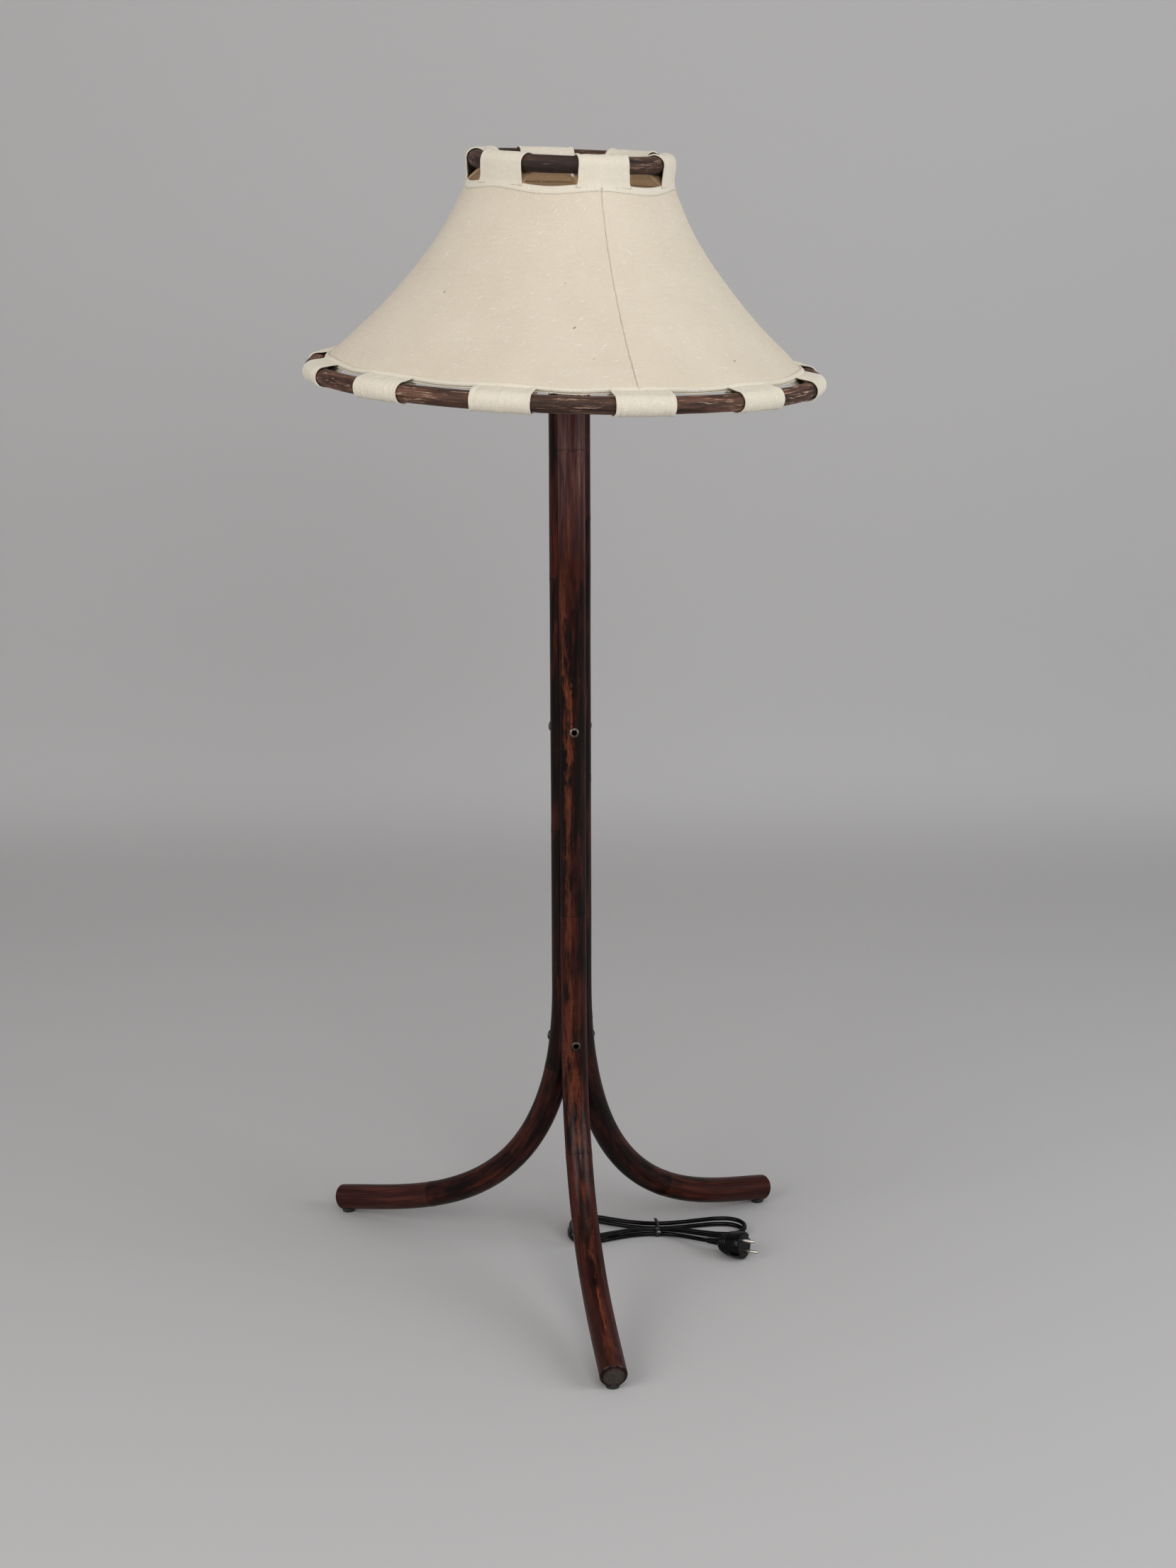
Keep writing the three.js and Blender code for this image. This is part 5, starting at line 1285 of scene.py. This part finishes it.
facing = edge_piece("neck_facing", 300, 6, facing_at, (0.8, FACING_WIDTH / 1000), 0.7)
hem = edge_piece("rolled_hem", 480, 12, hem_at, (1.87, 0.016))
raw_edge = edge_piece("overlocked_edge", 1500, 3, raw_edge_at, (1.87, 0.006), 0.5)

# The loops. Straps of the paler cloth, 72 mm wide with turned edges, go round the hoops and are
# sewn to the canvas: tucked under the facing at the neck, and under the hem at the foot.
LOOP_WIDTH = 72
LOOP_THICKNESS = 1.6
LOOP_RADIUS = HOOP_RADIUS + 0.6 + LOOP_THICKNESS / 2
STRAP_SIZES = {"loop_upper_1": (64, 4), "loop_upper_6": (67, 1)}  # cut narrower, and how far aside
STRAP_COLUMNS, STRAP_ROW = 56, 2.2
STRAP_SKEW, STRAP_END_FLARE, STRAP_WANDER = 1.2, 0.1, 0.6
TURNED_EDGE, TURNED_FROM = 0.8, 0.89
FINE_CREASE, UPPER_CREASE, LOWER_CREASE = 0.35, 0.3, 1.1
INSIDE_SHADE_FROM = 0.62


def round_hoop(root, centre, way):
    """From a root beside the hoop along a straight tangent, round the hoop and back to the root."""
    away = root - centre
    toward = math.atan2(away.z, away.x)
    half = math.acos(LOOP_RADIUS / away.length)
    first = toward + way * half
    sweep = way * (2 * math.pi - 2 * half)
    turns = [first + sweep * step / 30 for step in range(31)]
    return [centre + Vector((math.cos(turn), 0, math.sin(turn))) * LOOP_RADIUS for turn in turns]


def even_line(line, step):
    """The same line with its points evenly spaced."""
    distances = walk(line)
    count = max(int(distances[-1] / step), 8)
    return [stand_on(line, distances, distances[-1] * i / count)[0] for i in range(count + 1)], distances[-1]


upper_centre = Vector((UPPER_HOOP_RADIUS, 0, UPPER_HOOP_HEIGHT))
lower_centre = Vector((LOWER_HOOP_RADIUS, 0, LOWER_HOOP_HEIGHT))
upper_strap = [flare_side(NECK_START + 6, 0.1), flare_side(NECK_START + 3, 0.4), flare_side(NECK_START, 0.9)]
upper_strap += round_hoop(flare_side(NECK_START - 2, 1.2), upper_centre, 1)
upper_strap += [flare_side(NECK_START + 1, -1.7), flare_side(NECK_START + 6, -1.8)]
upper_strap += [flare_side(NECK_START + 10, -1.6)]
lower_strap = [flare_side(flare_length - 12, -1.8), flare_side(flare_length - 4, -1.9)]
lower_strap += round_hoop(flare_side(flare_length - 1, -2.2), lower_centre, -1)
lower_strap += [flare_side(flare_length - 3, -3.8), flare_side(flare_length - 12, -3.6)]
for level, path, centre, loops, first_seed, creasing in (
    ("upper", upper_strap, upper_centre, UPPER_LOOPS, 100, UPPER_CREASE),
    ("lower", lower_strap, lower_centre, LOWER_LOOPS, 0, LOWER_CREASE),
):
    line, strap_length = even_line(path, STRAP_ROW)
    for loop in range(loops):
        node_name = "loop_" + level + "_" + str(loop + 1)
        middle_turn = SEAM_TURN + 2 * math.pi * loop / loops
        chance = random.Random(loop + first_seed)
        skew = chance.uniform(-STRAP_SKEW, STRAP_SKEW)
        phase = chance.uniform(0, 50)
        width, shift = STRAP_SIZES.get(node_name, (LOOP_WIDTH, 0))

        def strap_at(across, up):
            i = min(round(up * (len(line) - 1)), len(line) - 1)
            point = line[i]
            before, after = line[max(i - 1, 0)], line[min(i + 1, len(line) - 1)]
            direction = (after - before).normalized()
            normal = Vector((direction.z, 0, -direction.x))
            if normal.dot(point - centre) < 0:
                normal.negate()
            side = 2 * across - 1
            end_share = min(up, 1 - up) * strap_length
            flare_out = 1 + STRAP_END_FLARE * math.exp(-end_share / 7)
            beside = shift + side * width / 2 * flare_out + skew * math.sin(up * math.pi)
            beside += STRAP_WANDER * noise.noise(Vector((phase, up * 9, side * 3)))
            turned_edge = TURNED_EDGE / (1 + math.exp(-(abs(side) - TURNED_FROM) * 70))
            crease = FINE_CREASE * noise.noise(Vector((phase + side * 4, up * 14, 0)))
            crease += creasing * noise.noise(Vector((phase + side * 13, up * 3, 4)))
            point = point + normal * (turned_edge + crease)
            azimuth = middle_turn + beside / max(point.x, 60)
            return in_shade(*polar(point.x, azimuth, point.z))

        shaped = laid_sheet(
            STRAP_COLUMNS, len(line) - 1, strap_at,
            lambda across, up: ((across - 0.5) * LOOP_WIDTH / 1000, up * strap_length / 1000),
        )
        if level == "upper":
            # its inner end, which faces the bulb, takes the cloth painted darker as inside shade
            uv = shaped.loops.layers.uv["cloth"]
            for face in shaped.faces:
                if face.loops[0][uv].uv.y > INSIDE_SHADE_FROM * strap_length / 1000:
                    face.material_index = 1
        strap = add_piece(
            "strap_" + level + "_" + str(loop + 1), shaped, pale_canvas, "shade", [node_name],
        )
        strap.data.materials.append(inside_shade_canvas)
        thicken(strap, LOOP_THICKNESS)

# The stitching. Cotton thread in straight rows holds the facing's lower edge and the hem. Each
# stitch is a short rounded bead, pulled a little into the cloth.
STITCH_LENGTH, STITCH_WIDTH, STITCH_HEIGHT = 2.6, 0.9, 0.8
STITCH_PITCH = 3.6
FACING_RADIUS, HEM_RADIUS = 130, 295
FACING_STITCHED, HEM_STITCHED = 2.2, 5.3  # how far in from the facing's edge, and from the hem's
FACING_STITCH_LIFT, HEM_STITCH_LIFT = 1.75, 2


def stitch_row(place_at, around):
    """A row of stitches right round the shade, each along the row at its own place."""
    row = bmesh.new()
    count = round(around / STITCH_PITCH)
    for stitch in range(count):
        azimuth = SEAM_TURN + 2 * math.pi * (stitch + 0.5) / count
        here, beyond, lifted = place_at(azimuth, 0), place_at(azimuth + 1 / around, 0), place_at(azimuth, 1)
        along = (beyond - here).normalized()
        outward = (lifted - here).normalized()
        across = outward.cross(along).normalized()
        turned = Matrix((along, across, outward)).transposed().to_4x4()
        size = Matrix.Diagonal((STITCH_LENGTH / 2000, STITCH_WIDTH / 2000, STITCH_HEIGHT / 2000, 1))
        placed = Matrix.Translation(here) @ turned @ size
        bmesh.ops.create_icosphere(row, subdivisions=1, radius=1, matrix=placed)
    return row


def facing_stitch(azimuth, lift):
    start, _ = canvas_span(azimuth)
    at = start + FACING_WIDTH - FACING_STITCHED
    return on_flare(azimuth, at, canvas_swell(azimuth, at) + FACING_STITCH_LIFT + lift)


def hem_stitch(azimuth, lift):
    _, end = canvas_span(azimuth)
    return on_flare(azimuth, end - HEM_STITCHED, canvas_swell(azimuth, end - 1) + HEM_STITCH_LIFT + lift)


# Spun cotton thread: a shade paler than the cloth, faintly twisted
sewing_cotton = mottled("sewing_cotton", 1600.0, ("f3ede0", "d8ccb6"), Roughness=0.85, Sheen_Weight=0.1)
for name, place_at, radius in (
    ("stitches_facing", facing_stitch, FACING_RADIUS), ("stitches_hem", hem_stitch, HEM_RADIUS),
):
    add_piece(name, stitch_row(place_at, 2 * math.pi * radius), sewing_cotton, "shade")

# Frayed threads. Loose ends of the overlocking hang under the hem, most at the front, and tufts of
# lint have caught on the canvas: one at its right and two at its left.
FRAY_RADIUS = 0.28
FRAYED_AT = 290  # the radius by which a step sideways becomes a turn
frays = bmesh.new()
chance = random.Random(8)
# where each starts: its azimuth, how far beyond the hem's end, and how far off the cloth
starts = [(math.radians(chance.gauss(-89, 5)), chance.uniform(-2, 0.5), -1.4) for _ in range(34)]
starts += [(chance.uniform(-math.pi, 0), chance.uniform(-2, 0.5), -1.4) for _ in range(30)]
for turn_degrees, spread, nearest, farthest, count in (
    (2.5, 0.6, 8, 12, 5), (-176, 0.5, 12, 16, 7), (-158.5, 0.5, 29, 33, 7),
):
    starts += [
        (math.radians(chance.gauss(turn_degrees, spread)), -chance.uniform(nearest, farthest), 0.8)
        for _ in range(count)
    ]
for azimuth, beyond, off in starts:
    _, end = canvas_span(azimuth)
    reach = chance.uniform(1.5, 4.5)
    down, aside, lift = chance.uniform(0.2, 1), chance.gauss(0, 0.7), chance.uniform(0.1, 0.8)
    if off > 0:
        down = chance.uniform(-0.6, 0.6)
    rise = lift if off > 0 else -lift * 0.3
    thread = []
    for step in range(6):
        share = step / 5
        curl = 0.5 * math.sin(share * 5 + aside * 9)
        point = on_flare(
            azimuth + (aside * reach * share + curl) / FRAYED_AT, end + beyond + down * reach * share,
            canvas_swell(azimuth, end - 1) + off + rise * reach * share ** 0.7,
        )
        thread.append((point - from_column(0, 0, 0)) * 1000)
    stations = stations_on(thread, lambda share: FRAY_RADIUS * (1 - 0.5 * share))
    bar_along(stations, Vector((0.3, 0.2, 0.9)).normalized(), 5, frays)
add_piece("frayed_threads", frays, sewing_cotton, "shade")

# The studio: a plain pale floor that runs up into a pale backdrop, lit by wide soft lamps. The
# backdrop can't be seen from behind, and beyond the floor's edges everything is as pale. Its
# lengths are in metres.
FLOOR_HALF_WIDTH, FLOOR_FRONT = 6, -6
SWEEP_START, SWEEP_TOP = 1.4, 0.8
BACKDROP, BACKDROP_TOP = 2.2, 5
stage_paint, tree, surface = start_material("pale_studio_paper", Roughness=0.9, Base_Color=srgb("b9b7b6"))
behind = add_node(tree, "ShaderNodeNewGeometry").outputs["Backfacing"]
clear = add_node(tree, "ShaderNodeBsdfTransparent")
one_sided = add_node(tree, "ShaderNodeMixShader", {0: behind, 1: surface.outputs[0], 2: clear.outputs[0]})
tree.links.new(one_sided.outputs[0], tree.nodes["Material Output"].inputs["Surface"])
corner = Vector((0, BACKDROP, 0))
profile = [Vector((0, FLOOR_FRONT, 0)), Vector((0, SWEEP_START - 0.2, 0))]
profile += interpolate_bezier(
    Vector((0, SWEEP_START, 0)), corner, corner, Vector((0, BACKDROP, SWEEP_TOP)), 16,
)
profile += [Vector((0, BACKDROP, BACKDROP_TOP))]
floor_shape = bmesh.new()
line = [floor_shape.verts.new((-FLOOR_HALF_WIDTH, point.y, point.z)) for point in profile]
far_side, _ = extrude(floor_shape, [floor_shape.edges.new(pair) for pair in zip(line, line[1:])])
bmesh.ops.translate(floor_shape, vec=(2 * FLOOR_HALF_WIDTH, 0, 0), verts=far_side)
floor_mesh = bpy.data.meshes.new("studio_floor")
floor_shape.to_mesh(floor_mesh)
floor_shape.free()
floor_mesh.shade_smooth()
floor_mesh.materials.append(stage_paint)
studio_floor = bpy.data.objects.new("studio_floor", floor_mesh)
bpy.context.scene.collection.objects.link(studio_floor)

LAMPS = [
    # name, place, size, power in watts, colour
    ("key", (0.9, -3.6, 2.6), 1.4, 36, (1, 1, 1)),
    ("window", (3.1, -1.2, 1.75), 2.2, 60, (0.93, 0.97, 1)),
    ("fill", (-2.5, -2.5, 2.1), 2.6, 70, (1, 1, 1)),
    ("overhead", (0.2, -0.6, 4.2), 2.5, 24, (1, 1, 1)),
]
for name, place_of, size, power, tint in LAMPS:
    lamp = bpy.data.objects.new(name, bpy.data.lights.new(name, "AREA"))
    lamp.data.size = size
    lamp.data.energy = power
    lamp.data.color = tint
    lamp.location = place_of
    lamp.rotation_euler = (Vector((0, 0, 0.8)) - Vector(place_of)).to_track_quat("-Z", "Y").to_euler()
    bpy.context.scene.collection.objects.link(lamp)

world = bpy.data.worlds.new("studio")
bpy.context.scene.world = world
world.use_nodes = True
beyond = world.node_tree.nodes["Background"]
beyond.inputs["Color"].default_value = srgb("e8e8ea")
tree = world.node_tree
path = add_node(tree, "ShaderNodeLightPath").outputs
seen = worked(tree, "MAXIMUM", path["Is Camera Ray"], path["Is Glossy Ray"])
seen = worked(tree, "MAXIMUM", seen, path["Is Transmission Ray"])
tree.links.new(ranged(tree, seen, new=(0.32, 0.46)), beyond.inputs["Strength"])
bpy.context.scene.view_settings.view_transform = "Standard"
